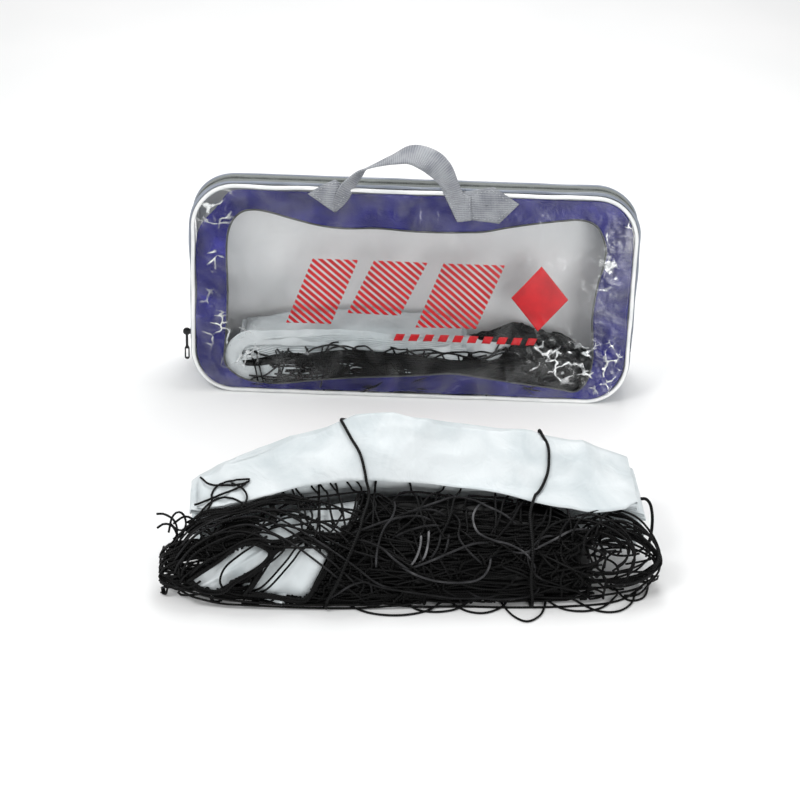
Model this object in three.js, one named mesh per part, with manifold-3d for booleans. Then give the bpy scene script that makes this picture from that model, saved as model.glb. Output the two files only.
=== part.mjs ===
// A volleyball net and its carry bag. The zipped bag stands at the back on its base, leaning back, with
// a folded net inside it, and a second net lies folded and tied on the floor in front of it.
// Millimetres, X right, Y away from the viewer, Z up, origin at the middle of the bag's base.
import * as THREE from 'three';
import { mergeVertices } from 'three/addons/utils/BufferGeometryUtils.js';
import Module from 'manifold-3d';

const wasm = await Module();
wasm.setup();

const gap = 0.3;

// Bag, as seen from the front: a rectangle with round corners.
const bagWidth = 450;
const bagHeight = 212;
const cornerRadius = 44;
const arcSteps = 7;

// Bag, as seen from the side: a wedge that narrows upwards and leans back.
const frontFoot = -40;
const frontTop = 12;
const backFoot = 40;
const backTop = 38;
const zipFoot = -10;
const zipTop = 25;

// Sheet, piping and zip.
const vinyl = 1.2;
const film = 0.8;
const strip = 1.0;
const pipingSize = 4;
const pipingProud = 1.5;
const pipingChamfer = 1.1;
const tapeHalf = 8.5;
const railHalf = 0.6;
const teethWidth = 2;
const teethHeight = 1.4;
const zipEnd = 54;

// Clear window in the front panel, and the overlap it is welded over.
const windowLeft = 35 - bagWidth / 2;
const windowRight = bagWidth / 2 - 32;
const windowBottom = 18;
const windowTop = bagHeight - 36;
const windowRadius = 28;
const weldOverlap = 8;
const weldBead = 3;

// Slider and its pull.
const parkBottom = 42;
const sliderLength = 12;
const sliderWidth = 10;
const plateOuter = 1.4;
const plateInner = 1.0;
const lugWidth = 4;
const pinRadius = 1.0;
const pullThickness = 1.6;
const pullRing = 4;
const pullHole = 1.8;
const pullLength = 35;
const pullLoopHalf = 2.6;
const pullSlotHalf = 1.2;

// Webbing handle.
const webbing = 2;
const anchorThickness = 1.7;

// Loose net: a white header tape folded to and fro on top of a heap of black netting.
const tapeThickness = 1.2;
const tapePitch = 2.2;
const tapeWidth = 70;
const tapeLayers = 22;
const tapeLeft = -190;
const tapeReach = 206;
const heapTurn = 4;
const heapSpan = 210;
const nettingUnderTape = 51.6;
const heapTop = tapeLayers * tapePitch + nettingUnderTape;
const heapBack = -220;
const heapFrontFloor = -378;
const heapBackFloor = -152;
const coreMargin = 3;
const bedMargin = 5.5;
const cordRadius = 1.3;
const tieRadius = 1.5;
const tieFloor = tieRadius + 0.4;

// Folded net inside the bag.
const packedLayers = 10;
const packedPitch = 2.2;
const packedWidth = 46;
const packedHalf = bagWidth / 2 - 31;

const lerp = THREE.MathUtils.lerp;
const along = (foot, top) => (z) => lerp(foot, top, z / bagHeight);
const frontPlane = along(frontFoot, frontTop);
const backPlane = along(backFoot, backTop);
const zipPlane = along(zipFoot, zipTop);
const shifted = (plane, offset) => (z) => plane(z) + offset;
const zipLean = Math.atan2(zipTop - zipFoot, bagHeight);

const object = new THREE.Group();
const looks = {
  navyVinyl: { color: '#2b2a63', roughness: 0.25, metalness: 0 },
  paleVinyl: { color: '#c5cbcc', roughness: 0.4, metalness: 0 },
  clearFilm: { color: '#b4babb', roughness: 0.2, metalness: 0 },
  whitePiping: { color: '#f1f3f1', roughness: 0.45, metalness: 0 },
  greyVinyl: { color: '#8a929c', roughness: 0.5, metalness: 0 },
  greyTape: { color: '#6f7472', roughness: 0.8, metalness: 0 },
  greyNylon: { color: '#5c605e', roughness: 0.45, metalness: 0 },
  blackMetal: { color: '#17171a', roughness: 0.35, metalness: 0.6 },
  greyWebbing: { color: '#8d9096', roughness: 0.85, metalness: 0 },
  redPrint: { color: '#cc1020', roughness: 0.5, metalness: 0 },
  weldGrey: { color: '#4d5048', roughness: 0.4, metalness: 0 },
  whiteTape: { color: '#eef2f2', roughness: 0.6, metalness: 0 },
  blackCord: { color: '#0d0d0f', roughness: 0.6, metalness: 0 },
};

function add(name, geometry, look, parent = object) {
  const mesh = new THREE.Mesh(geometry, new THREE.MeshStandardMaterial(looks[look]));
  mesh.name = name;
  parent.add(mesh);
  return mesh;
}

// ---- solids ----

function toSolid(geometry) {
  const plain = geometry.clone();
  plain.deleteAttribute('normal');
  plain.deleteAttribute('uv');
  const merged = mergeVertices(plain, 1e-4);
  return new wasm.Manifold(new wasm.Mesh({
    numProp: 3,
    vertProperties: new Float32Array(merged.attributes.position.array),
    triVerts: new Uint32Array(merged.index.array),
  }));
}

function toGeometry(solid) {
  const mesh = solid.getMesh();
  const geometry = new THREE.BufferGeometry();
  geometry.setAttribute('position', new THREE.Float32BufferAttribute(mesh.vertProperties, 3));
  geometry.setIndex(Array.from(mesh.triVerts));
  geometry.computeVertexNormals();
  return geometry;
}

function joined(...geometries) {
  return toGeometry(geometries.map(toSolid).reduce((whole, piece) => whole.add(piece)));
}

function cut(geometry, ...cutters) {
  return toGeometry(cutters.map(toSolid).reduce((rest, cutter) => rest.subtract(cutter), toSolid(geometry)));
}

function box(x0, x1, y0, y1, z0, z1) {
  const geometry = new THREE.BoxGeometry(x1 - x0, y1 - y0, z1 - z0);
  return geometry.translate((x0 + x1) / 2, (y0 + y1) / 2, (z0 + z1) / 2);
}

// A closed body through equal rings of points, with flat ends. crossed(r, i) says where a four-sided face
// is split along its other diagonal.
function loft(rings, crossed = () => false) {
  const count = rings[0].length;
  const positions = rings.flat().flatMap((p) => [p.x, p.y, p.z]);
  const index = [];
  for (let r = 0; r < rings.length - 1; r += 1) {
    for (let i = 0; i < count; i += 1) {
      const a = r * count + i;
      const b = r * count + (i + 1) % count;
      if (crossed(r, i)) {
        index.push(a, b, a + count, b, b + count, a + count);
      } else {
        index.push(a, b, b + count, a, b + count, a + count);
      }
    }
  }
  const flat = rings[0].map((p) => new THREE.Vector2(p.y, p.z));
  const last = (rings.length - 1) * count;
  const clockwise = THREE.ShapeUtils.isClockWise(flat);
  for (const [a, b, c] of THREE.ShapeUtils.triangulateShape(flat, [])) {
    const [near, far] = clockwise ? [[a, b, c], [a, c, b]] : [[a, c, b], [a, b, c]];
    index.push(...near, ...far.map((i) => last + i));
  }
  return outward(positions, index);
}

// Turns a closed mesh so that its faces point out.
function outward(positions, index) {
  let volume = 0;
  const at = (i) => new THREE.Vector3(positions[3 * i], positions[3 * i + 1], positions[3 * i + 2]);
  for (let i = 0; i < index.length; i += 3) {
    volume += at(index[i]).dot(at(index[i + 1]).cross(at(index[i + 2])));
  }
  const turned = volume < 0 ? [...index].reverse() : index;
  const geometry = new THREE.BufferGeometry();
  geometry.setAttribute('position', new THREE.Float32BufferAttribute(positions, 3));
  geometry.setIndex(turned);
  geometry.computeVertexNormals();
  return geometry;
}

// A flat shape in X and Z, filled from the sloping plane at its front to the one at its back.
function wall(shape, front, back) {
  const options = { depth: 1, bevelEnabled: false, curveSegments: arcSteps };
  const geometry = new THREE.ExtrudeGeometry(shape, options);
  const position = geometry.attributes.position;
  for (let i = 0; i < position.count; i += 1) {
    const z = position.getY(i);
    position.setXYZ(i, position.getX(i), lerp(back(z), front(z), position.getZ(i)), z);
  }
  geometry.computeVertexNormals();
  return geometry;
}

function roundedRectangle(path, left, right, bottom, top, radius) {
  path.moveTo(left + radius, bottom);
  path.absarc(right - radius, bottom + radius, radius, -Math.PI / 2, 0, false);
  path.absarc(right - radius, top - radius, radius, 0, Math.PI / 2, false);
  path.absarc(left + radius, top - radius, radius, Math.PI / 2, Math.PI, false);
  path.absarc(left + radius, bottom + radius, radius, Math.PI, 1.5 * Math.PI, false);
  return path;
}

function bagOutline(path, inset) {
  const half = bagWidth / 2 - inset;
  return roundedRectangle(path, -half, half, inset, bagHeight - inset, cornerRadius - inset);
}

function windowOutline(path, grow) {
  return roundedRectangle(path, windowLeft - grow, windowRight + grow, windowBottom - grow, windowTop + grow,
    windowRadius + grow);
}

// The part of the bag's rim above a height: up one side, over the top and down the other.
function rimAbove(outer, inner, foot) {
  const half = bagWidth / 2;
  const centre = half - cornerRadius;
  const top = bagHeight - cornerRadius;
  const shape = new THREE.Shape();
  shape.moveTo(-half + outer, foot);
  shape.absarc(-centre, top, cornerRadius - outer, Math.PI, Math.PI / 2, true);
  shape.absarc(centre, top, cornerRadius - outer, Math.PI / 2, 0, true);
  shape.lineTo(half - outer, foot);
  shape.lineTo(half - inner, foot);
  shape.absarc(centre, top, cornerRadius - inner, 0, Math.PI / 2, false);
  shape.absarc(-centre, top, cornerRadius - inner, Math.PI / 2, Math.PI, false);
  shape.lineTo(-half + inner, foot);
  return shape;
}

// The part of the bag's rim below a height: down one side, under the base and up the other.
function rimBelow(outer, inner, brim) {
  const half = bagWidth / 2;
  const centre = half - cornerRadius;
  const shape = new THREE.Shape();
  shape.moveTo(-half + outer, brim);
  shape.absarc(-centre, cornerRadius, cornerRadius - outer, Math.PI, 1.5 * Math.PI, false);
  shape.absarc(centre, cornerRadius, cornerRadius - outer, 1.5 * Math.PI, 2 * Math.PI, false);
  shape.lineTo(half - outer, brim);
  shape.lineTo(half - inner, brim);
  shape.absarc(centre, cornerRadius, cornerRadius - inner, 2 * Math.PI, 1.5 * Math.PI, true);
  shape.absarc(-centre, cornerRadius, cornerRadius - inner, 1.5 * Math.PI, Math.PI, true);
  shape.lineTo(-half + inner, brim);
  return shape;
}

// ---- bag: front panel ----

const frameShape = bagOutline(new THREE.Shape(), pipingSize + gap);
frameShape.holes.push(windowOutline(new THREE.Path(), 0));
const frameFront = shifted(frontPlane, -vinyl / 2);
const frameBack = shifted(frontPlane, vinyl / 2);
add('front_frame', wall(frameShape, frameFront, frameBack), 'navyVinyl');

const paneShape = windowOutline(new THREE.Shape(), weldOverlap);
const paneFront = shifted(frameBack, gap);
add('window_pane', wall(paneShape, paneFront, shifted(paneFront, film)), 'clearFilm');

const weldShape = windowOutline(new THREE.Shape(), weldBead);
weldShape.holes.push(windowOutline(new THREE.Path(), gap));
add('window_weld', wall(weldShape, shifted(frameFront, -gap - film), shifted(frameFront, -gap)), 'weldGrey');

// A printed motif of slanting bars and a diamond, in front of the clear film.
const printBars = [[-128, -82, 66], [-66, -12, 54], [4, 66, 66]];
const printSlant = 26;
const printTop = windowTop - 34;
const inkBack = shifted(paneFront, -gap);
const inkFront = shifted(inkBack, -0.3);
printBars.forEach(([left, right, height], i) => {
  const bar = new THREE.Shape();
  bar.moveTo(left, printTop - height);
  bar.lineTo(right, printTop - height);
  bar.lineTo(right + printSlant, printTop);
  bar.lineTo(left + printSlant, printTop);
  add(`print_bar_${i + 1}`, wall(bar, inkFront, inkBack), 'redPrint');
});
const diamondX = windowRight - 64;
const diamondZ = printTop - 33;
const diamond = new THREE.Shape();
diamond.moveTo(diamondX - 29, diamondZ);
diamond.lineTo(diamondX, diamondZ - 33);
diamond.lineTo(diamondX + 29, diamondZ);
diamond.lineTo(diamondX, printTop);
add('print_diamond', wall(diamond, inkFront, inkBack), 'redPrint');

// ---- bag: piping, gusset and zip tapes ----

// Piping: a round-edged bead all the way round a panel.
function piping(front) {
  const shape = bagOutline(new THREE.Shape(), 0);
  shape.holes.push(bagOutline(new THREE.Path(), pipingSize));
  const geometry = new THREE.ExtrudeGeometry(shape, {
    depth: pipingSize - 2 * pipingChamfer,
    bevelThickness: pipingChamfer,
    bevelSize: pipingChamfer,
    bevelOffset: -pipingChamfer,
    bevelSegments: 1,
    curveSegments: arcSteps,
  });
  const position = geometry.attributes.position;
  for (let i = 0; i < position.count; i += 1) {
    const z = position.getY(i);
    const y = front(z) + pipingSize - pipingChamfer - position.getZ(i);
    position.setXYZ(i, position.getX(i), y, z);
  }
  geometry.computeVertexNormals();
  return geometry;
}

const frontPipingFace = shifted(frontPlane, -pipingProud);
const frontPipingEnd = shifted(frontPipingFace, pipingSize + gap);
const backPipingFace = shifted(backPlane, pipingProud - pipingSize);
const backPipingEnd = shifted(backPipingFace, -gap);
add('front_piping', piping(frontPipingFace), 'whitePiping');
add('back_piping', piping(backPipingFace), 'whitePiping');

const tapeFrontEdge = shifted(zipPlane, -tapeHalf);
const tapeBackEdge = shifted(zipPlane, tapeHalf);
const railFront = shifted(zipPlane, -railHalf);
const railBack = shifted(zipPlane, railHalf);
const rim = rimAbove(0, strip, zipEnd);
add('gusset_front', wall(rim, frontPipingEnd, shifted(tapeFrontEdge, -gap)), 'greyVinyl');
add('gusset_back', wall(rim, shifted(tapeBackEdge, gap), backPipingEnd), 'greyVinyl');
add('zipper_tape_front', wall(rim, tapeFrontEdge, railFront), 'greyTape');
add('zipper_tape_back', wall(rim, railBack, tapeBackEdge), 'greyTape');

const teethRim = rimAbove(-gap - teethHeight, -gap, zipEnd);
add('zipper_teeth_front', wall(teethRim, shifted(railFront, -teethWidth), railFront), 'greyNylon');
add('zipper_teeth_back', wall(teethRim, railBack, shifted(railBack, teethWidth)), 'greyNylon');

// The base strip has a slit on the left for the parked slider.
const baseStrip = wall(rimBelow(0, strip, zipEnd - gap), frontPipingEnd, backPipingEnd);
const slitBottom = parkBottom - 2;
const slitMiddle = (slitBottom + zipEnd) / 2;
const slit = box(-bagWidth / 2 - 2, -bagWidth / 2 + 4, -railHalf, railHalf, slitBottom - slitMiddle, 10);
slit.rotateX(-zipLean).translate(0, zipPlane(slitMiddle), slitMiddle);
add('gusset_base', cut(baseStrip, slit), 'greyVinyl');

const backShape = bagOutline(new THREE.Shape(), pipingSize + gap);
const backPanelFront = shifted(backPlane, -vinyl / 2);
add('back_panel', wall(backShape, backPanelFront, shifted(backPanelFront, vinyl)), 'paleVinyl');

// Metal end stops, just below where the zip ends.
const stopX = bagWidth / 2 + gap;
const stopRise = parkBottom - 1.2;
const stopLow = box(-stopX - 1.5, -stopX, -3, 3, -3, 0).translate(0, zipPlane(stopRise), stopRise);
const stopHigh = box(stopX, stopX + 1.5, -3, 3, -3, 0).translate(0, zipPlane(zipEnd), zipEnd - gap);
add('zip_stop_left', stopLow, 'blackMetal');
add('zip_stop_right', stopHigh, 'blackMetal');

// ---- zip slider and pull, drawn with the zip running along Z at X = 0 ----

const slider = new THREE.Group();
const sliderMiddle = parkBottom + sliderLength / 2;
slider.position.set(-bagWidth / 2, zipPlane(sliderMiddle), sliderMiddle);
slider.rotation.x = -zipLean;
object.add(slider);

const halfLength = sliderLength / 2;
const plateFace = -gap - teethHeight - gap;
const plateTop = plateFace - plateOuter;
const pinX = plateTop - pullRing - 0.5;
const lugTop = pinX - 1.8;
const sliderPin = new THREE.CylinderGeometry(pinRadius, pinRadius, lugWidth, 10).translate(pinX, 0, 0);
const halfWidth = sliderWidth / 2;
const innerFace = strip + 2 * gap;
add('zip_slider', joined(
  box(plateTop, plateFace, -halfWidth, halfWidth, -halfLength, halfLength),
  box(innerFace, innerFace + plateInner, -halfWidth, halfWidth, -halfLength, halfLength),
  box(plateFace - 0.4, strip + gap + 0.4, -gap, gap, -halfLength + 0.5, halfLength - 0.5),
  box(lugTop, plateTop + 0.4, 1.3, lugWidth / 2 + 0.4, -1.9, 1.9),
  box(lugTop, plateTop + 0.4, -lugWidth / 2 - 0.4, -1.3, -1.9, 1.9),
  sliderPin,
), 'blackMetal', slider);

// Pull: an eye round the pin, a stem, and a long loop at its end.
const pullShape = new THREE.Shape();
const stemHalf = 1.3;
const stemEnd = -pullRing - 12;
const pullEnd = pullRing - pullLength;
const eyeAngle = Math.asin(stemHalf / pullRing);
pullShape.absarc(0, 0, pullRing, -Math.PI / 2 + eyeAngle, 1.5 * Math.PI - eyeAngle, false);
pullShape.lineTo(-stemHalf, stemEnd);
pullShape.lineTo(-pullLoopHalf, stemEnd - 2.5);
pullShape.absarc(0, pullEnd + pullLoopHalf, pullLoopHalf, Math.PI, 2 * Math.PI, false);
pullShape.lineTo(pullLoopHalf, stemEnd - 2.5);
pullShape.lineTo(stemHalf, stemEnd);
const eye = new THREE.Path();
eye.absarc(0, 0, pullHole, 0, 2 * Math.PI, true);
const loopTop = stemEnd - 3.2;
const slot = new THREE.Path();
slot.moveTo(-pullSlotHalf, loopTop);
slot.lineTo(pullSlotHalf, loopTop);
slot.lineTo(pullSlotHalf, pullEnd + 2.2);
slot.lineTo(-pullSlotHalf, pullEnd + 2.2);
pullShape.holes.push(eye, slot);
const pullOptions = { depth: pullThickness, bevelEnabled: false, curveSegments: 6 };
const pull = new THREE.ExtrudeGeometry(pullShape, pullOptions);
pull.rotateX(Math.PI / 2).translate(pinX, pullThickness / 2, 0);
add('zip_puller', pull, 'blackMetal', slider);

// ---- handle ----

// A flat strap through stations that each have a middle, a direction across and a width.
function strap(stations, thickness, steps) {
  const middle = new THREE.CatmullRomCurve3(stations.map((s) => new THREE.Vector3(...s.at)));
  const across = new THREE.CatmullRomCurve3(stations.map((s) => new THREE.Vector3(...s.across).normalize()));
  const width = new THREE.CatmullRomCurve3(stations.map((s) => new THREE.Vector3(s.width, 0, 0)));
  const rings = [];
  for (let i = 0; i <= steps; i += 1) {
    const t = i / steps;
    const tangent = middle.getTangent(t);
    const side = across.getPoint(t);
    side.addScaledVector(tangent, -side.dot(tangent)).normalize();
    const up = side.clone().cross(tangent).normalize();
    const half = width.getPoint(t).x / 2;
    const deep = thickness / 2;
    const corner = (a, b) => middle.getPoint(t).addScaledVector(side, a * half).addScaledVector(up, b * deep);
    rings.push([corner(-1, -1), corner(1, -1), corner(1, 1), corner(-1, 1)]);
  }
  return loft(rings);
}

const handleY = frontTop - 2.5;
const handleZ = bagHeight + 9;
const handleStations = [
  { at: [-84, handleY, handleZ], across: [0.8, 0.2, -0.6], width: 12 },
  { at: [-69, handleY + 0.5, handleZ + 7], across: [0.35, 0.8, -0.55], width: 13 },
  { at: [-49, handleY + 1, handleZ + 14], across: [0, 1, -0.45], width: 17 },
  { at: [-27, handleY + 2, handleZ + 23], across: [0, 1, -0.1], width: 23 },
  { at: [-7, handleY + 2, handleZ + 30], across: [0.1, 1, 0.3], width: 27 },
  { at: [11, handleY + 1, handleZ + 25], across: [0.5, 0.8, 0.5], width: 26 },
  { at: [24, handleY - 1, handleZ + 15], across: [0.8, 0.45, 0.6], width: 22 },
  { at: [34, handleY, handleZ + 1], across: [0.9, 0.1, 0.5], width: 14 },
];
add('handle_strap', strap(handleStations, webbing, 24), 'greyWebbing');

// The strap's ends are folded flat and sewn over the top of the front panel. Each point is given by its
// X and by how far it is below the bag's top edge.
function foldedEnd(points) {
  return new THREE.Shape(points.map(([x, drop]) => new THREE.Vector2(x, bagHeight - drop)));
}
const anchorBack = shifted(frontPlane, -pipingProud - gap);
const anchorFront = shifted(anchorBack, -anchorThickness);
const leftAnchor = foldedEnd([[-108, 3], [-81, 22], [-72, 8], [-74, -2.8], [-92, -3.8]]);
add('handle_anchor_left', wall(leftAnchor, anchorFront, anchorBack), 'greyWebbing');
const rightFlap = foldedEnd([[44, 25], [84, 29], [103, 9], [78, -3], [46, -1]]);
const rightRiser = foldedEnd([[42, 28], [56, 26], [54, 2], [40, -3], [32, -5.8], [24, -5.3]]);
add('handle_anchor_right', joined(
  wall(rightFlap, anchorFront, anchorBack),
  wall(rightRiser, shifted(anchorFront, -anchorThickness), shifted(anchorFront, 0.3)),
), 'greyWebbing');

// ---- folded tape ----

const tapeStagger = 5;
function foldStagger(fold, reach = tapeStagger) {
  return reach * Math.sin(2.4 * fold);
}

// A tape folded to and fro: flat runs one below the other, joined by round folds at their ends.
// place(u, depth, across) puts a point of the folded stack into space. All runs bend at the same places,
// which are closer together near the folds, and their twisted faces are split the same way, so that no
// run comes through its neighbour.
function foldedTape({ layers, pitch, thickness, width, from, to, steps, stagger, place }) {
  const bends = [];
  for (let i = 1; i < steps; i += 1) bends.push(lerp(from, to, i / steps));
  bends.unshift(from + 2.5 * stagger);
  bends.push(to - 2.5 * stagger);
  const stations = [];
  const ends = Array.from({ length: layers + 1 }, (_, k) => foldStagger(k, stagger));
  for (let k = 0; k < layers; k += 1) {
    const rightward = k % 2 === 0;
    const start = rightward ? from + ends[k] : to - ends[k];
    const finish = rightward ? to - ends[k + 1] : from + ends[k + 1];
    const sign = rightward ? 1 : -1;
    const run = rightward ? bends : [...bends].reverse();
    for (const u of [start, ...run, finish]) stations.push({ u, d: k * pitch, nu: 0, nd: -sign });
    if (k < layers - 1) {
      for (const turn of [Math.PI / 4, Math.PI / 2, 0.75 * Math.PI]) {
        const u = finish + sign * Math.sin(turn) * pitch / 2;
        const d = (k + 0.5) * pitch - Math.cos(turn) * pitch / 2;
        stations.push({ u, d, nu: Math.sin(turn), nd: -sign * Math.cos(turn) });
      }
    }
  }
  const half = thickness / 2;
  const rings = stations.map(({ u, d, nu, nd }) => [
    place(u - nu * half, d - nd * half, 0),
    place(u + nu * half, d + nd * half, 0),
    place(u + nu * half, d + nd * half, width),
    place(u - nu * half, d - nd * half, width),
  ]);
  const lowerFace = 3;
  return loft(rings, (r, i) => (i === lowerFace) !== (stations[r + 1].u < stations[r].u));
}

// ---- folded net inside the bag ----

function stepped(xs, values) {
  return (x) => {
    const i = Math.min(Math.max(xs.findIndex((v) => v > x), 1), xs.length - 1);
    const t = THREE.MathUtils.clamp((x - xs[i - 1]) / (xs[i] - xs[i - 1]), 0, 1);
    return lerp(values[i - 1], values[i], t * t * (3 - 2 * t));
  };
}

const lumpShares = [-1, -0.918, -0.619, -0.309, 0, 0.309, 0.392, 0.567, 0.773, 0.948, 1];
const lumpXs = lumpShares.map((share) => share * packedHalf);
const lumpTops = [14, 30, 40, 44, 42, 38, 44, 56, 48, 30, 12];
const lumpTop = stepped(lumpXs, lumpTops);
const lumpFoot = strip + 2 * gap;
// Height of the inside of the base strip over the floor, near the bag's round bottom corners.
function bagFloorRise(x) {
  const past = Math.abs(x) - (bagWidth / 2 - cornerRadius);
  const radius = cornerRadius - strip;
  return past <= 0 ? 0 : radius - Math.sqrt(Math.max(radius * radius - past * past, 0));
}
const lumpRings = lumpXs.map((x) => {
  const top = lumpTop(x);
  const frontAt = (z, inset) => new THREE.Vector3(x, frontPlane(z) + inset, z);
  const backAt = (z, inset) => new THREE.Vector3(x, backPlane(z) - inset, z);
  const low = lerp(lumpFoot, top, 0.35);
  const high = lerp(lumpFoot, top, 0.8);
  return [
    frontAt(lumpFoot, 12), frontAt(low, 4), frontAt(high, 5), frontAt(top, 15),
    backAt(top, 18), backAt(high, 8), backAt(low, 6), backAt(lumpFoot, 12),
  ];
});
const liftCorner = (p) => new THREE.Vector3(p.x, p.y, Math.max(p.z, lumpFoot + bagFloorRise(p.x)));
add('packed_netting', loft(lumpRings.map((ring) => ring.map(liftCorner))), 'blackCord');

const packedBase = (packedLayers - 1) * packedPitch + tapeThickness / 2 + 1.3;
const packedTape = foldedTape({
  layers: packedLayers,
  pitch: packedPitch,
  thickness: tapeThickness,
  width: packedWidth,
  from: -0.887 * packedHalf,
  to: 0.278 * packedHalf,
  steps: 8,
  stagger: 4,
  place: (u, d, w) => {
    const z = lumpTop(u) + packedBase - d;
    return new THREE.Vector3(u, frontPlane(z) + 5 + w - 0.1 * (z - 40), z);
  },
});
add('packed_tape', packedTape, 'whiteTape');

// ---- loose net in front of the bag ----

// The whole heap is drawn lengthwise along X, then turned a little, its right end towards the bag.
const heap = new THREE.Group();
const heapPivot = new THREE.Vector3(0, -250, 0);
heap.rotation.z = THREE.MathUtils.degToRad(heapTurn);
heap.position.copy(heapPivot).sub(heapPivot.clone().applyEuler(heap.rotation));
object.add(heap);

// Pose of the header tape's stack along the heap: it sags and lies flatter towards the ends.
function stack(x) {
  const s = THREE.MathUtils.clamp(x / heapSpan, -1, 1);
  const sag = x < 0 ? 46 : 37;
  const tilt = THREE.MathUtils.degToRad(3 + 28 * (1 - s * s));
  return {
    y: heapBack - 30 * s * s,
    z: heapTop - sag * Math.abs(s) ** 2.2,
    across: new THREE.Vector2(-Math.cos(tilt), -Math.sin(tilt)),
    down: new THREE.Vector2(Math.sin(tilt), -Math.cos(tilt)),
  };
}

// A point of the stack's section: across from its back upper edge, and down through its layers.
function stackPoint(x, depth, across) {
  const pose = stack(x);
  return new THREE.Vector3(
    x,
    pose.y + across * pose.across.x + depth * pose.down.x,
    pose.z + across * pose.across.y + depth * pose.down.y,
  );
}

const stackDepth = (tapeLayers - 1) * tapePitch + tapeThickness / 2;
add('header_tape', foldedTape({
  layers: tapeLayers,
  pitch: tapePitch,
  thickness: tapeThickness,
  width: tapeWidth,
  from: tapeLeft,
  to: tapeReach,
  steps: 8,
  stagger: tapeStagger,
  place: stackPoint,
}), 'whiteTape', heap);

// Front of the heap: a roll of netting from the floor up to the tape's lower edge.
const rollEase = 34;
function roll(x, turn, reach, grow) {
  const left = reach - Math.abs(x);
  const full = left >= rollEase ? 1 : Math.sqrt(Math.max(1 - (1 - left / rollEase) ** 2, 0));
  const edge = stackPoint(x, 0, tapeWidth + coreMargin + 2);
  const s = x / heapSpan;
  const deep = edge.y - (heapFrontFloor + 10 * s ** 4) + grow;
  const high = edge.z - 4 + grow;
  const bend = 1 - 0.35 * (1 - full);
  const y = edge.y - deep * bend * Math.cos(turn) ** 0.75;
  return new THREE.Vector3(x, y, high * (0.35 + 0.65 * full) * Math.sin(turn) ** 0.8);
}

const coreReach = 213;
const coreXs = [-213, -208, -196, -180, -140, -90, -40, 0, 40, 90, 140, 180, 196, 208, 213];
const rollTurns = [0, 0.12, 0.3, 0.55, 0.85, 1.15, 1.4, Math.PI / 2];
const rollCore = loft(coreXs.map((x) => {
  const ring = rollTurns.map((turn) => roll(x, turn, coreReach, 0));
  const crest = ring[ring.length - 1];
  ring.push(new THREE.Vector3(x, crest.y, 0));
  return ring;
}));

// Underneath the tape: a bed from the roll back to the heap's rear.
const bedXs = [-166, -140, -90, -40, 0, 40, 90, 130, 162];
const bedCore = loft(bedXs.map((x) => {
  const lip = stackPoint(x, 0, tapeWidth + coreMargin + 2);
  const heel = stackPoint(x, stackDepth + bedMargin, tapeWidth + bedMargin);
  const shoulder = stackPoint(x, stackDepth + bedMargin, -6);
  const rear = heapBackFloor - 40 * (x / heapSpan) ** 2;
  return [
    new THREE.Vector3(x, lip.y - 6, 0),
    new THREE.Vector3(x, lip.y - 6, lip.z - 16),
    heel,
    shoulder,
    new THREE.Vector3(x, lerp(shoulder.y, rear, 0.6), shoulder.z * 0.82),
    new THREE.Vector3(x, rear + 3, shoulder.z * 0.35),
    new THREE.Vector3(x, rear, 0),
  ];
}));

// The net's white end band, folded up, lies in a bay at the front left of the heap.
const bayFloor = 2;
const bandLayers = 4;
const bandTop = bayFloor + gap + tapeThickness / 2 + (bandLayers - 1) * tapePitch;
const bandAt = new THREE.Vector3(-116, -334, bandTop);
const bandTurn = THREE.MathUtils.degToRad(62);
const bandReach = 32;
const bandWidth = 44;
const bay = box(-bandReach - 90, bandReach + 7, -bandWidth / 2 - 4, bandWidth / 2 + 4, bayFloor, 100);
bay.rotateZ(bandTurn).translate(bandAt.x, bandAt.y, 0);
const bandSide = new THREE.Vector3(-Math.sin(bandTurn), Math.cos(bandTurn), 0);
const bandAlong = new THREE.Vector3(Math.cos(bandTurn), Math.sin(bandTurn), 0);
add('side_band', foldedTape({
  layers: bandLayers,
  pitch: tapePitch,
  thickness: tapeThickness,
  width: bandWidth,
  from: -bandReach,
  to: bandReach,
  steps: 3,
  stagger: 4,
  place: (u, d, w) => bandAt.clone()
    .addScaledVector(bandAlong, u)
    .addScaledVector(bandSide, w - bandWidth / 2)
    .add(new THREE.Vector3(0, 0, -d)),
}), 'whiteTape', heap);

// The ties run in grooves under the heap.
const ties = [{ name: 'tie_left', x: -0.267 * heapSpan }, { name: 'tie_right', x: 0.581 * heapSpan }];
const grooveHalf = tieRadius + 1.1;
const grooveTop = 2 * tieRadius + 1.9;
const grooveFront = heapFrontFloor - 42;
const grooveBack = heapBackFloor + 32;
function groove({ x }) {
  return box(x - grooveHalf, x + grooveHalf, grooveFront, grooveBack, -1, grooveTop);
}
add('netting_core', cut(joined(rollCore, bedCore), bay, ...ties.map(groove)), 'blackCord', heap);

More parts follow.
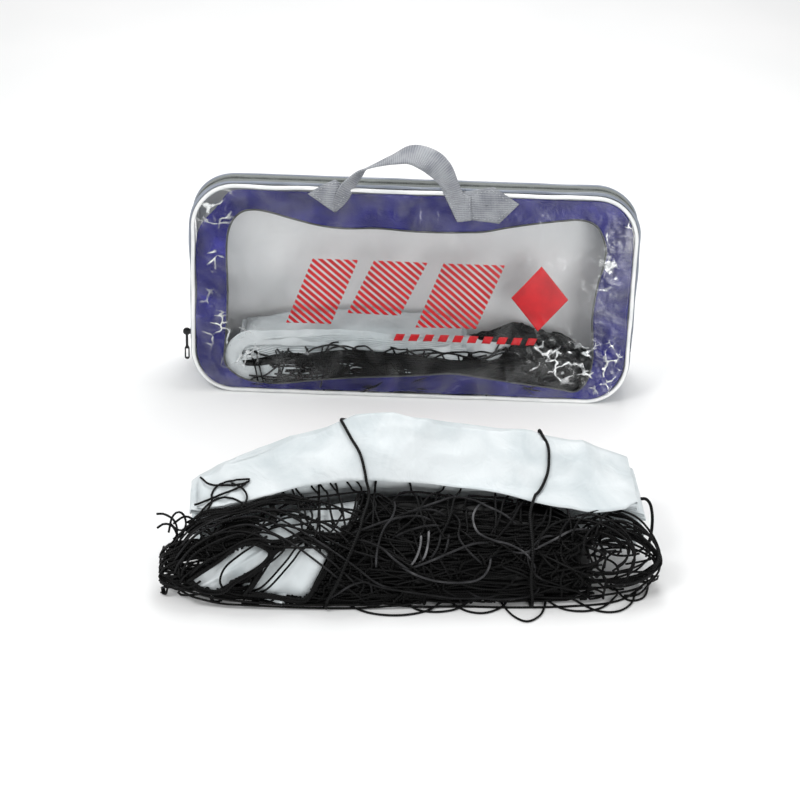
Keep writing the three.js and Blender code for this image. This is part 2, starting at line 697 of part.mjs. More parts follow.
// The netting itself: a lattice of square meshes drawn over the front roll.
const netColumns = 30;
const netRows = 7;
const meshReach = 224;
const meshGrow = 2.3;
function netPoint(column, row) {
  const t = column / (netColumns - 1);
  const wave = row > 0 && row < netRows - 1 ? 3.2 * Math.sin(1.9 * column + 2.3 * row) : 0;
  const x = lerp(6 - meshReach, meshReach - 10, t) + wave * Math.min(1, 4 * t, 4 * (1 - t));
  const turn = lerp(0.16, 1.5, row / (netRows - 1)) + 0.05 * Math.sin(2.7 * column + row);
  return roll(x, turn, meshReach, meshGrow);
}
function lattice(columns, rows, point, radius) {
  const positions = [];
  const index = [];
  const id = (c, r, k) => (c * rows + r) * 8 + k;
  const quad = (a, b, c, d) => index.push(a, b, c, a, c, d);
  for (let c = 0; c < columns; c += 1) {
    for (let r = 0; r < rows; r += 1) {
      const p = point(c, r);
      const right = point(Math.min(c + 1, columns - 1), r).sub(point(Math.max(c - 1, 0), r)).normalize();
      const up = point(c, Math.min(r + 1, rows - 1)).sub(point(c, Math.max(r - 1, 0))).normalize();
      const out = up.clone().cross(right).normalize();
      up.copy(right).cross(out).normalize();
      for (const [a, b, n] of [[-1, -1, 1], [1, -1, 1], [1, 1, 1], [-1, 1, 1],
        [-1, -1, -1], [1, -1, -1], [1, 1, -1], [-1, 1, -1]]) {
        const v = p.clone().addScaledVector(right, a * radius).addScaledVector(up, b * radius);
        v.addScaledVector(out, n * radius);
        positions.push(v.x, v.y, v.z);
      }
      quad(id(c, r, 0), id(c, r, 1), id(c, r, 2), id(c, r, 3));
      quad(id(c, r, 7), id(c, r, 6), id(c, r, 5), id(c, r, 4));
      if (c === 0) quad(id(c, r, 4), id(c, r, 0), id(c, r, 3), id(c, r, 7));
      if (c === columns - 1) quad(id(c, r, 1), id(c, r, 5), id(c, r, 6), id(c, r, 2));
      if (r === 0) quad(id(c, r, 4), id(c, r, 5), id(c, r, 1), id(c, r, 0));
      if (r === rows - 1) quad(id(c, r, 3), id(c, r, 2), id(c, r, 6), id(c, r, 7));
      if (c < columns - 1) {
        quad(id(c, r, 1), id(c + 1, r, 0), id(c + 1, r, 3), id(c, r, 2));
        quad(id(c, r, 6), id(c + 1, r, 7), id(c + 1, r, 4), id(c, r, 5));
        quad(id(c, r, 5), id(c + 1, r, 4), id(c + 1, r, 0), id(c, r, 1));
        quad(id(c, r, 2), id(c + 1, r, 3), id(c + 1, r, 7), id(c, r, 6));
      }
      if (r < rows - 1) {
        quad(id(c, r, 3), id(c, r, 2), id(c, r + 1, 1), id(c, r + 1, 0));
        quad(id(c, r, 6), id(c, r, 7), id(c, r + 1, 4), id(c, r + 1, 5));
        quad(id(c, r, 2), id(c, r, 6), id(c, r + 1, 5), id(c, r + 1, 1));
        quad(id(c, r, 7), id(c, r, 3), id(c, r + 1, 0), id(c, r + 1, 4));
      }
    }
  }
  return outward(positions, index);
}
add('netting_mesh', lattice(netColumns, netRows, netPoint, cordRadius), 'blackCord', heap);

// Each tie is a cord right round the bundle: over the tape, down the back, under the core and up the front.
for (const { name, x } of ties) {
  const over = tieRadius + tapeThickness / 2 + 2.6;
  const rear = heapBackFloor - 40 * (x / heapSpan) ** 2;
  const shoulder = stackPoint(x, stackDepth, -6);
  const clear = meshGrow + cordRadius + tieRadius + 1.2;
  const points = [
    ...[0.1, 0.3, 0.55, 0.9, 1.25].map((turn) => roll(x, turn, meshReach, clear)),
    stackPoint(x, -over - 1.5, tapeWidth + 4),
    stackPoint(x, -over, tapeWidth - 8),
    stackPoint(x, -over, tapeWidth / 2),
    stackPoint(x, -over, 8),
    stackPoint(x, -over + 1, -3.4),
    stackPoint(x, stackDepth / 2, -5),
    stackPoint(x, stackDepth - 4, -9),
    new THREE.Vector3(x, lerp(shoulder.y, rear, 0.6) + 3, shoulder.z * 0.82 + 3.5),
    new THREE.Vector3(x, rear + 7, shoulder.z * 0.35),
    new THREE.Vector3(x, rear + 6, 4),
    new THREE.Vector3(x, rear, tieFloor),
    new THREE.Vector3(x, rear - 12, tieFloor),
    new THREE.Vector3(x, lerp(rear, heapFrontFloor, 0.5), tieFloor),
    new THREE.Vector3(x, heapFrontFloor + 16, tieFloor),
    new THREE.Vector3(x, heapFrontFloor - 1, tieFloor + 0.3),
  ];
  const route = new THREE.CatmullRomCurve3(points, true, 'centripetal');
  add(name, new THREE.TubeGeometry(route, 56, tieRadius, 8, true), 'blackCord', heap);
}

// A short end of the head rope comes out of a fold at the tape's right end and hangs down.
const tailRadius = 1.5;
const tailFold = 4.5;
const tailX = tapeReach - foldStagger(5) + tapePitch / 2 + tapeThickness / 2 + gap;
const tailStart = stackPoint(tailX, tailFold * tapePitch, 40);
const tailSteps = [
  [0, 0, 0], [5, 0, -0.5], [9, -3, -5], [11, -8, -16], [10, -15, -28], [7, -22, -38], [5, -27, -46],
];
const tailPoints = tailSteps.map((step) => new THREE.Vector3(...step).add(tailStart));
const tailRoute = new THREE.CatmullRomCurve3(tailPoints);
const disc = new THREE.Shape().absarc(0, 0, tailRadius, 0, 2 * Math.PI, false);
const tail = new THREE.ExtrudeGeometry(disc, { steps: 14, extrudePath: tailRoute, curveSegments: 4 });
add('head_rope_tail', tail, 'blackCord', heap);

export default object;
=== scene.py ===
# %% [markdown]
# # A volleyball net and its carry bag
# The set is two things. A flat bag of soft vinyl, with a clear front, stands at the back and holds a
# folded net. A second net lies folded and tied on the floor in front of it: a white header tape, laid to
# and fro, on a heap of black netting. The CAD model gives the places of all pieces, in metres, and this
# lesson dresses them. X is to the right, Y away from the viewer and Z up.

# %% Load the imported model
import math

import bpy
import numpy as np
from mathutils import Matrix, Vector


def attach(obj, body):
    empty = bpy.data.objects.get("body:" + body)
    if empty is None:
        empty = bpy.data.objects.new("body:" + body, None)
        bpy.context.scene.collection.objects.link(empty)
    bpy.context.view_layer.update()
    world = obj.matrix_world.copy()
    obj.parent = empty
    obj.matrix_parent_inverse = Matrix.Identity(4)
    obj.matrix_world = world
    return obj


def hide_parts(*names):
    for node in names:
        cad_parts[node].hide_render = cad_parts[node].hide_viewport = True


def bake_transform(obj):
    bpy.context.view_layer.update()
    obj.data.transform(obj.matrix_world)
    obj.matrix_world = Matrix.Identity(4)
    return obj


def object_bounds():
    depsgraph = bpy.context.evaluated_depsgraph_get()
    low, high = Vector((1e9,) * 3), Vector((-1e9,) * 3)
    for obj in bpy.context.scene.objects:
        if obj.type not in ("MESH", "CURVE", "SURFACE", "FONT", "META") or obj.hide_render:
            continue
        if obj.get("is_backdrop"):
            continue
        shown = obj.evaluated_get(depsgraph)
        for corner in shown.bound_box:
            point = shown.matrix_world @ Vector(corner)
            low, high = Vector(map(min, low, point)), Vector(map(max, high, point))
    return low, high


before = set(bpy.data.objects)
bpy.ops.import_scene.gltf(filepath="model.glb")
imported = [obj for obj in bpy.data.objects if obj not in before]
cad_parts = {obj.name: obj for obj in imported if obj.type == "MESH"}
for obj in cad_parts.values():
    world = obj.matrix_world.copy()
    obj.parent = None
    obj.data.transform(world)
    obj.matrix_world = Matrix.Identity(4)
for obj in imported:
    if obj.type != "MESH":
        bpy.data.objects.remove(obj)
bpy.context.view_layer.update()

MM = 0.001

# %% [markdown]
# ## The camera
# The photograph looks down at about a third of a right angle from well in front, and is turned a little,
# so that the bag's right end is lower. A camera looks along its own minus Z, so it is aimed with a
# track quaternion, and then rolled round that line. The field of view comes from how many pixels one
# millimetre of the bag takes.

# %% Make the camera
image_pixels = 800
aim = Vector((-9, -110, 42)) * MM
distance = 1.75
elevation = math.radians(33)
roll = math.radians(2.0)
pixels_per_metre = 1010
camera_data = bpy.data.cameras.new("camera")
camera_data.sensor_fit = "HORIZONTAL"
camera_data.angle = 2 * math.atan(image_pixels / 2 / (pixels_per_metre * distance))
camera = bpy.data.objects.new("camera", camera_data)
bpy.context.scene.collection.objects.link(camera)
back = Vector((0, -math.cos(elevation), math.sin(elevation)))
camera.location = aim + back * distance
camera.rotation_mode = "QUATERNION"
camera.rotation_quaternion = (-back).to_track_quat("-Z", "Y") @ Matrix.Rotation(roll, 4, "Z").to_quaternion()
bpy.context.scene.camera = camera
print("field of view in degrees:", round(math.degrees(camera_data.angle), 2))

# %% [markdown]
# ## Small helpers
# A soft piece is worked out as rows of points, so most pieces here come from arrays of numbers. All are
# written in millimetres, as a maker would, and turned to metres when the mesh is made. The object stays
# at the origin and the place is in the mesh, because the export puts each object there.

# %% Make a mesh from arrays
def make_piece(name, points, faces, body, uv=None, smooth=True):
    mesh = bpy.data.meshes.new(name)
    mesh.from_pydata((np.asarray(points) * MM).tolist(), [], [list(map(int, f)) for f in faces])
    mesh.polygons.foreach_set("use_smooth", [smooth] * len(mesh.polygons))
    if uv is not None:
        layer = mesh.uv_layers.new(name="UVMap")
        corners = np.empty(len(mesh.loops), int)
        mesh.loops.foreach_get("vertex_index", corners)
        flat = np.asarray(uv, float)[corners]
        first = np.array([p.loop_start for p in mesh.polygons])
        widest = np.repeat(np.maximum.reduceat(flat[:, 0], first), np.diff(np.append(first, len(flat))))
        around = (np.asarray(uv)[:, 0].max() < 1) & (widest - flat[:, 0] > 0.5)
        flat[around, 0] += 1
        layer.data.foreach_set("uv", flat.ravel())
    mesh.update()
    piece = bpy.data.objects.new(name, mesh)
    bpy.context.scene.collection.objects.link(piece)
    if body:
        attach(piece, body)
    return piece


def rows_of(*parts):
    """One row for each point, from grids of its numbers."""
    return np.stack(np.broadcast_arrays(*parts), -1).reshape(-1, len(parts))


def grid_faces(rows, columns, wrap_columns=False, wrap_rows=False):
    r, c = np.meshgrid(np.arange(rows - (not wrap_rows)), np.arange(columns - (not wrap_columns)),
                       indexing="ij")
    up, right = (r + 1) % rows, (c + 1) % columns
    quads = np.stack([r * columns + c, r * columns + right, up * columns + right, up * columns + c], -1)
    return quads.reshape(-1, 4)


def put_attribute(piece, name, values):
    attribute = piece.data.attributes.new(name, "FLOAT", "POINT")
    attribute.data.foreach_set("value", np.asarray(values, np.float32))


def pick_only(piece):
    for other in bpy.context.selected_objects:
        other.select_set(False)
    piece.select_set(True)
    bpy.context.view_layer.objects.active = piece


def thicken(piece, thickness, side):
    """Gives a sheet its thickness in mm: inwards at -1, both ways at 0, outwards at 1."""
    pick_only(piece)
    modifier = piece.modifiers.new("wall", "SOLIDIFY")
    modifier.thickness, modifier.offset = thickness * MM, side
    bpy.ops.object.modifier_apply(modifier=modifier.name)


# %% Smooth curves and gentle noise
def run_along(line):
    """How far along the line each of its points lies."""
    return np.concatenate([[0], np.cumsum(np.linalg.norm(np.diff(line, axis=0), axis=1))])


def smooth_line(points, spacing, closed=False):
    """A smooth curve through the points, with a point every so many millimetres."""
    p = np.asarray(points, float)
    if closed:
        p = np.vstack([p[-1:], p, p[:2]])
    else:
        p = np.vstack([2 * p[0] - p[1], p, 2 * p[-1] - p[-2]])
    t = np.linspace(0, 1, 13)[:-1, None]
    parts = []
    for a, b, c, d in zip(p[:-3], p[1:-2], p[2:-1], p[3:]):
        parts.append(0.5 * (2 * b + (c - a) * t + (2 * a - 5 * b + 4 * c - d) * t**2
                            + (3 * b - a - 3 * c + d) * t**3))
    line = np.vstack(parts + ([] if closed else [p[-2:-1]]))
    if closed:
        line = np.vstack([line, line[:1]])
    run = run_along(line)
    count = max(int(round(run[-1] / spacing)), 3)
    at = np.linspace(0, run[-1], count + 1)
    even = np.stack([np.interp(at, run, line[:, k]) for k in range(line.shape[1])], 1)
    return even[:-1] if closed else even


def waves(seed, lengths, *coordinates):
    """Smooth noise from -1 to 1: a sum of sine waves in random directions, each of its own length in mm."""
    rng = np.random.default_rng(seed)
    total, weight = 0, 0
    for length in lengths:
        for _ in range(3):
            direction = rng.normal(size=len(coordinates))
            direction /= np.linalg.norm(direction)
            phase = sum(d * c for d, c in zip(direction, coordinates)) * 2 * math.pi / length
            total = total + length * np.sin(phase + rng.uniform(0, 6.3))
        weight += length * 1.7
    return np.clip(total / weight, -1, 1)


# %% [markdown]
# ## The head rope's free end
# A net hangs from a rope that runs inside its header tape. One end of it comes out of the folded tape and
# hangs down the side of the heap. It is a limp braided cord 3 mm thick, about 60 mm of it free, and its
# end is melted off bare. It follows the route that the CAD model gives, so its points are repeated here.

# %% The heap's own frame
heap_turn = math.radians(4)
heap_pivot = np.array([0.0, -250.0, 0.0])
turned = np.array([[math.cos(heap_turn), -math.sin(heap_turn), 0],
                   [math.sin(heap_turn), math.cos(heap_turn), 0], [0, 0, 1]])
heap_span, heap_top, heap_back = 210, 100, -220


def to_room(points):
    """The heap is drawn lengthwise along X and then turned a little."""
    return (np.asarray(points, float) - heap_pivot) @ turned.T + heap_pivot


def stack_pose(x):
    s = np.clip(np.asarray(x, float) / heap_span, -1, 1)
    tilt = np.radians(3 + 28 * (1 - s * s))
    y = heap_back - 30 * s * s
    z = heap_top - np.where(s < 0, 46, 37) * np.abs(s) ** 2.2
    return y, z, tilt


def stack_point(x, depth, across):
    """A point of the folded tape's stack: down through its layers, and across from its back edge."""
    y, z, tilt = stack_pose(x)
    return np.stack(np.broadcast_arrays(
        x, y - across * np.cos(tilt) + depth * np.sin(tilt),
        z - across * np.sin(tilt) - depth * np.cos(tilt)), -1)


# %% Lay the rope's end
tape_reach, tape_pitch, tape_thickness, tape_width, tape_layers = 206, 2.2, 1.2, 70, 22
rope_radius = 1.5
rope_start = stack_point(tape_reach - 5 * math.sin(12) + tape_pitch / 2 + tape_thickness / 2 + 0.3,
                         4.5 * tape_pitch, 40)
rope_steps = [[0, 0, 0], [5, 0, -0.5], [9, -3, -5], [11, -8, -16], [10, -15, -28], [7, -22, -38],
              [5, -27, -46]]
rope_route = to_room(smooth_line(rope_start + np.array(rope_steps), 1.5))


def tube(route, radius, sides=8, closed=False):
    """Rings of points round a route, and the faces between them. UV: once round, and millimetres along."""
    route = np.asarray(route, float)
    ahead = np.roll(route, -1, 0) - np.roll(route, 1, 0)
    if not closed:
        ahead[0], ahead[-1] = route[1] - route[0], route[-1] - route[-2]
    ahead /= np.linalg.norm(ahead, axis=1)[:, None] + 1e-12
    side = np.empty_like(ahead)
    first = np.cross(ahead[0], [0, 0, 1])
    side[0] = first if np.linalg.norm(first) > 1e-3 else np.cross(ahead[0], [0, 1, 0])
    side[0] /= np.linalg.norm(side[0])
    for i in range(1, len(route)):
        v = side[i - 1] - ahead[i] * (side[i - 1] @ ahead[i])
        side[i] = v / (np.linalg.norm(v) + 1e-12)
    other = np.cross(ahead, side)
    angle = np.arange(sides) * 2 * math.pi / sides
    size = np.broadcast_to(radius, len(route))[:, None, None]
    ring = (route[:, None] + size * (np.cos(angle)[None, :, None] * side[:, None]
                                     + np.sin(angle)[None, :, None] * other[:, None]))
    points = ring.reshape(-1, 3)
    faces = [list(f) for f in grid_faces(len(route), sides, wrap_columns=True, wrap_rows=closed)[:, ::-1]]
    run = run_along(route)
    uv = rows_of(np.arange(sides)[None] / sides, run[:, None])
    if not closed:
        faces += [list(range(sides)), list(range(len(points) - 1, len(points) - sides - 1, -1))]
    return points, faces, uv


def join_tubes(tubes):
    """Several tubes as the points, faces and UVs of one mesh."""
    points, faces, uv, start = [], [], [], 0
    for p, f, u in tubes:
        points.append(p)
        uv.append(u)
        faces += [[i + start for i in face] for face in f]
        start += len(p)
    return np.vstack(points), faces, np.vstack(uv)


def tube_piece(name, body, parts):
    points, faces, uv = parts
    return make_piece(name, points, faces, body, uv)


rope_taper = np.interp(np.arange(len(rope_route)), [0, len(rope_route) - 3, len(rope_route) - 1],
                       [1, 1, 0.55])
rope_tail = tube_piece("head_rope_end", "net", tube(rope_route, rope_radius * rope_taper))
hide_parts("head_rope_tail")

# %% [markdown]
# ## Floor and light
# The set stands on a plain white sweep. A large soft light above and to the left models the folds, and a
# weaker one at the right opens the shadows. Two small ones behind the set light the rear of the heap and
# the floor there, and a white sky gives the vinyl something pale to mirror.

# %% Lay the floor and hang the lights
bpy.ops.object.select_all(action="DESELECT")
bpy.ops.mesh.primitive_plane_add(size=8, location=(0, 0, 0))
floor = bpy.context.active_object
floor.name = "floor"
floor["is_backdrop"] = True


def hang_light(name, place, target, size, power):
    data = bpy.data.lights.new(name, "AREA")
    data.shape, data.size, data.energy = "SQUARE", size, power
    lamp = bpy.data.objects.new(name, data)
    bpy.context.scene.collection.objects.link(lamp)
    lamp.location = place
    lamp.rotation_mode = "QUATERNION"
    lamp.rotation_quaternion = (Vector(target) - Vector(place)).to_track_quat("-Z", "Y")
    return lamp


hang_light("key_light", (-1.2, -0.9, 1.8), (0, -0.15, 0.05), 0.7, 15)
hang_light("fill_light", (0.9, -1.9, 0.5), (0, -0.05, 0.1), 0.9, 13)
hang_light("back_light", (0.1, 0.35, 1.0), (0, -0.25, 0), 0.5, 5)
hang_light("far_light", (0, 1.1, 1.1), (0, 1.2, 0), 0.9, 4)
bpy.context.scene.view_settings.view_transform = "Standard"
world = bpy.data.worlds.new("white sky")
bpy.context.scene.world = world
world.use_nodes = True
world.node_tree.nodes["Background"].inputs["Color"].default_value = (1, 1, 1, 1)
world.node_tree.nodes["Background"].inputs["Strength"].default_value = 0.6

# %% [markdown]
# ## Materials
# Each material is named for the real one. Colours are picked as sRGB hex values and turned to linear
# light once. One small function, which comes with each new material, adds a node with its settings and its
# links, so that each finish below reads as a list of what happens to the surface. Another sets sockets.

# %% Colour and node helpers
def linear(code):
    """An sRGB hex value as linear red, green, blue and alpha."""
    channels = [int(code[i:i + 2], 16) / 255 for i in (1, 3, 5)]
    return [c / 12.92 if c <= 0.04045 else ((c + 0.055) / 1.055) ** 2.4 for c in channels] + [1.0]


def fill(made, **settings):
    """Sets a node's sockets, by name or by number, to a value or a link, and else its options."""
    for key, value in settings.items():
        socket = int(key[1:]) if key[0] == "_" else key.replace("_", " ")
        if isinstance(socket, str) and socket not in made.inputs:
            setattr(made, key, value)
        elif isinstance(value, bpy.types.NodeSocket):
            made.id_data.links.new(value, made.inputs[socket])
        else:
            made.inputs[socket].default_value = value


def new_material(name):
    """A material, its shader, and a function that adds a node to it and gives one of the node's outputs."""
    material = bpy.data.materials.new(name)
    material.use_nodes = True

    def add(kind, output, stops=(), **settings):
        made = material.node_tree.nodes.new("ShaderNode" + kind)
        fill(made, **settings)
        for number, (place, code) in enumerate(stops):
            elements = made.color_ramp.elements
            element = elements[number] if number < 2 else elements.new(place)
            element.position, element.color = place, linear(code)
        return made.outputs[output]

    return material, material.node_tree.nodes["Principled BSDF"], add


def show_only_where(material, add, share):
    """Leaves the finish where share is 1, and nothing at all where it is 0."""
    nodes = material.node_tree.nodes
    mixed = add("MixShader", "Shader", _0=share, _1=add("BsdfTransparent", "BSDF"),
                _2=nodes["Principled BSDF"].outputs[0])
    fill(nodes["Material Output"], Surface=mixed)


def dress(piece, material):
    piece.data.materials.clear()
    piece.data.materials.append(material)


# %% Stage paint
paint, shader, add = new_material("white studio paint")
place = add("TexCoord", "Object")
mottle = add("TexNoise", "Fac", Vector=place, Scale=3.0, Detail=2.0)
fill(shader, Base_Color=add("ValToRGB", "Color", Fac=mottle, stops=[(0.3, "#f4f5f5"), (0.7, "#fafafa")]),
     Roughness=0.9)
dress(floor, paint)

# %% [markdown]
# ## The bag's shape
# Seen from the front the bag is a rectangle with round corners. Seen from the side it is a wedge: its
# front leans back, and its back is almost upright. Every sheet of it follows one of these planes, so a
# sheet is a flat outline in X and Z whose Y comes from the plane.

# %% Planes and outline
bag_half, bag_height, corner = 225, 212, 44


def front_plane(z):
    return -40 + 52 * z / bag_height


def back_plane(z):
    return 40 - 2 * z / bag_height


def zip_plane(z):
    return -10 + 35 * z / bag_height


def rim_line(inset, spacing):
    """The outline as even points in X and Z, from the middle of the left side over the top."""
    r = corner - inset
    turn = np.linspace(0, math.pi / 2, 24)
    corners = [(-1, 1, math.pi), (1, 1, math.pi / 2), (1, -1, 0), (-1, -1, -math.pi / 2)]
    parts = [[(-bag_half + inset, bag_height / 2)]]
    for side, level, start in corners:
        middle = (side * (bag_half - corner), bag_height / 2 + level * (bag_height / 2 - corner))
        parts.append([(middle[0] + r * math.cos(start - t), middle[1] + r * math.sin(start - t))
                      for t in turn])
    line = np.array([p for part in parts for p in part] + parts[0])
    run = run_along(line)
    at = np.linspace(0, run[-1], int(run[-1] / spacing) + 1)[:-1]
    return np.stack([np.interp(at, run, line[:, 0]), np.interp(at, run, line[:, 1])], 1)


def half_width(z, inset):
    r = corner - inset
    past = np.clip(np.maximum(corner - z, z - (bag_height - corner)), 0, r)
    return bag_half - corner + np.sqrt(r * r - past * past)


# %% [markdown]
# ## The clear front
# The whole front is one sheet of soft clear PVC, 0.4 mm thick. It was sewn in slack, so it bows forwards
# a little and is crushed into sharp creases near the corners and over the imported net. The sheet is a grid
# that is moved forwards and back: long waves everywhere, and ridges where the places below say. The same
# numbers say how creased it is there, which the finish reads for its fine creases and for the painted
# highlights along them.

# %% Where the clear sheet is crushed
crushed = np.array([
    [-201, 190, 26, 24, 1.0], [-200, 138, 10, 14, 0.9], [194, 134, 15, 18, 1.0], [148, 146, 26, 8, 0.5],
    [205, 178, 20, 20, 0.7], [150, 44, 46, 26, 1.0], [-178, 52, 34, 40, 0.75], [-86, 46, 44, 12, 0.6],
    [203, 34, 18, 36, 0.8], [20, 60, 60, 8, 0.35], [-206, 88, 14, 30, 0.6], [40, 188, 110, 8, 0.35],
])


def crush_at(x, z):
    total = 0
    for cx, cz, rx, rz, strength in crushed:
        total = total + strength * np.exp(-((x - cx) / rx) ** 2 - ((z - cz) / rz) ** 2)
    return np.clip(total, 0, 1)


def edge_fade(x, z, margin, side, foot):
    """1 well inside a panel, 0 at its margin, with so many mm between at the sides, and at foot and top."""
    sides = np.clip((bag_half - margin - np.abs(x)) / side, 0, 1)
    return sides * np.clip((z - margin) / foot, 0, 1) * np.clip((bag_height - margin - z) / foot, 0, 1)


def film_shift(x, z):
    """How far forwards of its plane the clear sheet lies, in mm."""
    bow = 2.6 * (1 - (x / bag_half) ** 2) * np.sin(np.clip(z / bag_height, 0, 1) * math.pi)
    ridges = (1 - np.abs(waves(3, (34, 21), x, z))) ** 3 + 0.6 * (1 - np.abs(waves(4, (13, 9), x, z))) ** 3
    net = 2.4 * np.exp(-((z - 44) / 26) ** 2) * np.exp(-(x / 190) ** 6)
    out = bow + net + 1.1 * waves(2, (120, 70), x, z) + 2.3 * crush_at(x, z) * (ridges - 0.35)
    return edge_fade(x, z, 5, 14, 12) * out + 1.0


def panel_grid(inset, columns, rows):
    level = (1 - np.cos(np.linspace(0, math.pi, rows))) / 2
    level = 0.5 * level + 0.5 * np.linspace(0, 1, rows)
    z = inset + level * (bag_height - 2 * inset)
    z, u = np.meshgrid(z, np.linspace(-1, 1, columns), indexing="ij")
    return u * half_width(z, inset), z


# %% Make the clear sheet
x, z = panel_grid(3.4, 300, 150)
film_points = rows_of(x, front_plane(z) - film_shift(x, z), z)
film = make_piece("clear_front", film_points, grid_faces(*x.shape), "bag")
put_attribute(film, "crush", crush_at(x, z).ravel())
thicken(film, 0.4, -1)
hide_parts("window_pane")
print("clear sheet:", len(film.data.vertices), "points")

# %% Soft clear PVC
clear_pvc, shader, add = new_material("soft clear PVC film")
place = add("TexCoord", "Object")
crush = add("Attribute", "Fac", attribute_name="crush")
warp = add("TexNoise", "Color", Vector=place, Scale=20.0, Detail=3.0)
bent = add("VectorMath", 0, _0=warp, _2=place, operation="MULTIPLY_ADD", _1=(0.07, 0.03, 0.03))
creases = add("TexVoronoi", "Distance", Vector=bent, feature="DISTANCE_TO_EDGE", Scale=62.0)
crease_line = add("MapRange", "Result", Value=creases, From_Min=0.012, From_Max=0.07, To_Min=1.0, To_Max=0.0)
haze = add("TexNoise", "Fac", Vector=place, Scale=22.0, Detail=4.0, Distortion=1.2)
folded = add("MapRange", "Result", Value=crush, From_Min=0.4, From_Max=0.9)
crushed_line = add("Math", 0, _0=crease_line, _1=folded, operation="MULTIPLY")
fine = add("TexNoise", "Fac", Vector=place, Scale=75.0, Detail=3.0)
patch = add("MapRange", "Result", Value=fine, From_Min=0.46, From_Max=0.6)
# Painted highlight: along crushed creases the whitish film is made opaque, in place of glints of light.
painted_glint = add("Math", 0, _0=crushed_line, _1=patch, operation="MULTIPLY")
bump_height = add("Math", 0, _0=crushed_line, _2=haze, operation="MULTIPLY_ADD", _1=0.6)
bump = add("Bump", "Normal", Height=bump_height, Strength=0.35, Distance=0.0012)
fill(shader, Normal=bump, Base_Color=add("ValToRGB", "Color", Fac=haze,
    stops=[(0.3, "#e3e7e8"), (0.7, "#f6f7f7")]), Roughness=0.12)
gloss = add("MapRange", "Result", Value=painted_glint, To_Min=0.45, To_Max=0.0)
fill(shader, Metallic=gloss)
base = add("MapRange", "Result", Value=haze, From_Min=0.42, From_Max=0.78, To_Min=0.005, To_Max=0.07)
rim_gloss = add("LayerWeight", "Fresnel", Blend=0.12)
seen = add("Math", 0, _0=rim_gloss, _2=base, operation="MULTIPLY_ADD", _1=0.8)
seen = add("Math", 0, _0=painted_glint, _2=seen, operation="MULTIPLY_ADD", _1=1.6, use_clamp=True)
show_only_where(clear_pvc, add, seen)
dress(film, clear_pvc)

# %% [markdown]
# ## The navy border
# Behind the clear sheet a ring of glossy navy PVC hides the seams and frames the window. It is sewn only
# at its outer edge, so its inner edge waves, and at one corner it has come away from the piping. Both edges
# are drawn as loops of points, and the ring is filled between them along rays from the middle.

# %% Draw the two edges of the border
window_edge = np.array([
    [-188, 104], [-189, 150], [-185, 172], [-175, 184], [-162, 187], [-146, 185], [-124, 180], [-96, 174],
    [-70, 172], [-34, 173], [10, 171], [52, 172], [70, 173], [93, 178], [128, 184], [162, 188], [180, 184],
    [189, 172], [193, 158], [191, 140], [187, 122], [184, 92], [186, 66], [187, 44], [183, 24], [172, 12],
    [155, 14], [142, 16], [110, 19], [74, 24], [42, 27], [10, 24], [-30, 21], [-72, 18], [-104, 14],
    [-140, 10], [-168, 13], [-184, 22], [-191, 34], [-189, 66],
])
border_edge = rim_line(4.6, 6)
pulled = 15 * np.exp(-((border_edge[:, 0] + 205) / 20) ** 2 - ((border_edge[:, 1] - 188) / 22) ** 2)
inwards = np.array([0, 106]) - border_edge
inwards = inwards / np.linalg.norm(inwards, axis=1)[:, None]
border_edge = border_edge + inwards * (pulled + 0.8 * waves(8, (60, 35), *border_edge.T) + 0.4)[:, None]


def by_angle(line, angles):
    """The loop's points at these angles round the bag's middle."""
    flat = (line - [0, 106]) / [215, 100]
    turn, reach = np.arctan2(flat[:, 1], flat[:, 0]), np.linalg.norm(flat, axis=1)
    order = np.argsort(turn)
    reach = np.interp(angles, turn[order], reach[order], period=2 * math.pi)
    return np.stack([reach * np.cos(angles) * 215, reach * np.sin(angles) * 100 + 106], -1)


# %% Fill the border
around = np.linspace(-math.pi, math.pi, 721)[:-1]
inner = by_angle(smooth_line(window_edge, 3, closed=True), around)
outer = by_angle(smooth_line(border_edge, 3, closed=True), around)
share = np.linspace(0, 1, 17)[:, None, None]
flat = outer * (1 - share) + inner * share
x, z = flat[..., 0], flat[..., 1]
sag = 0.9 * waves(6, (90, 50), x, z) + 0.8 * crush_at(x, z) * (1 - np.abs(waves(7, (26, 15), x, z))) ** 2
y = front_plane(z) + 1.1 + 0.6 * share[..., 0] - 0.5 * film_shift(x, z) + 0.6 * sag
border = make_piece("navy_border", rows_of(x, y, z), grid_faces(*x.shape, wrap_columns=True), "bag")
thicken(border, 0.5, 1)
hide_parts("front_frame")
print("navy border:", len(border.data.vertices), "points")

# %% Glossy navy PVC
navy_pvc, shader, add = new_material("calendered navy PVC sheet")
place = add("TexCoord", "Object")
stretch = add("Mapping", 0, Vector=place, Scale=(1, 1, 1.6))
cloud = add("TexNoise", "Fac", Vector=stretch, Scale=17.0, Detail=3.0, Distortion=1.2)
fill(shader, Base_Color=add("ValToRGB", "Color", Fac=cloud,
                            stops=[(0.3, "#0d0b50"), (0.5, "#161468"), (0.66, "#22207c"), (0.8, "#403ea2")]))
creases = add("TexNoise", "Fac", Vector=stretch, Scale=60.0, Detail=2.0, Distortion=2.5)
fill(shader, Normal=add("Bump", "Normal", Height=creases, Strength=0.25, Distance=0.001), IOR=1.53,
     Roughness=add("MapRange", "Result", Value=cloud, To_Min=0.16, To_Max=0.34))
dress(border, navy_pvc)

# %% [markdown]
# ## The window's dark binding
# The navy sheet's inner edge was heat-sealed with a flat, dark grey bead 2 mm wide. It follows the same
# wavy edge, on the side that faces the viewer.

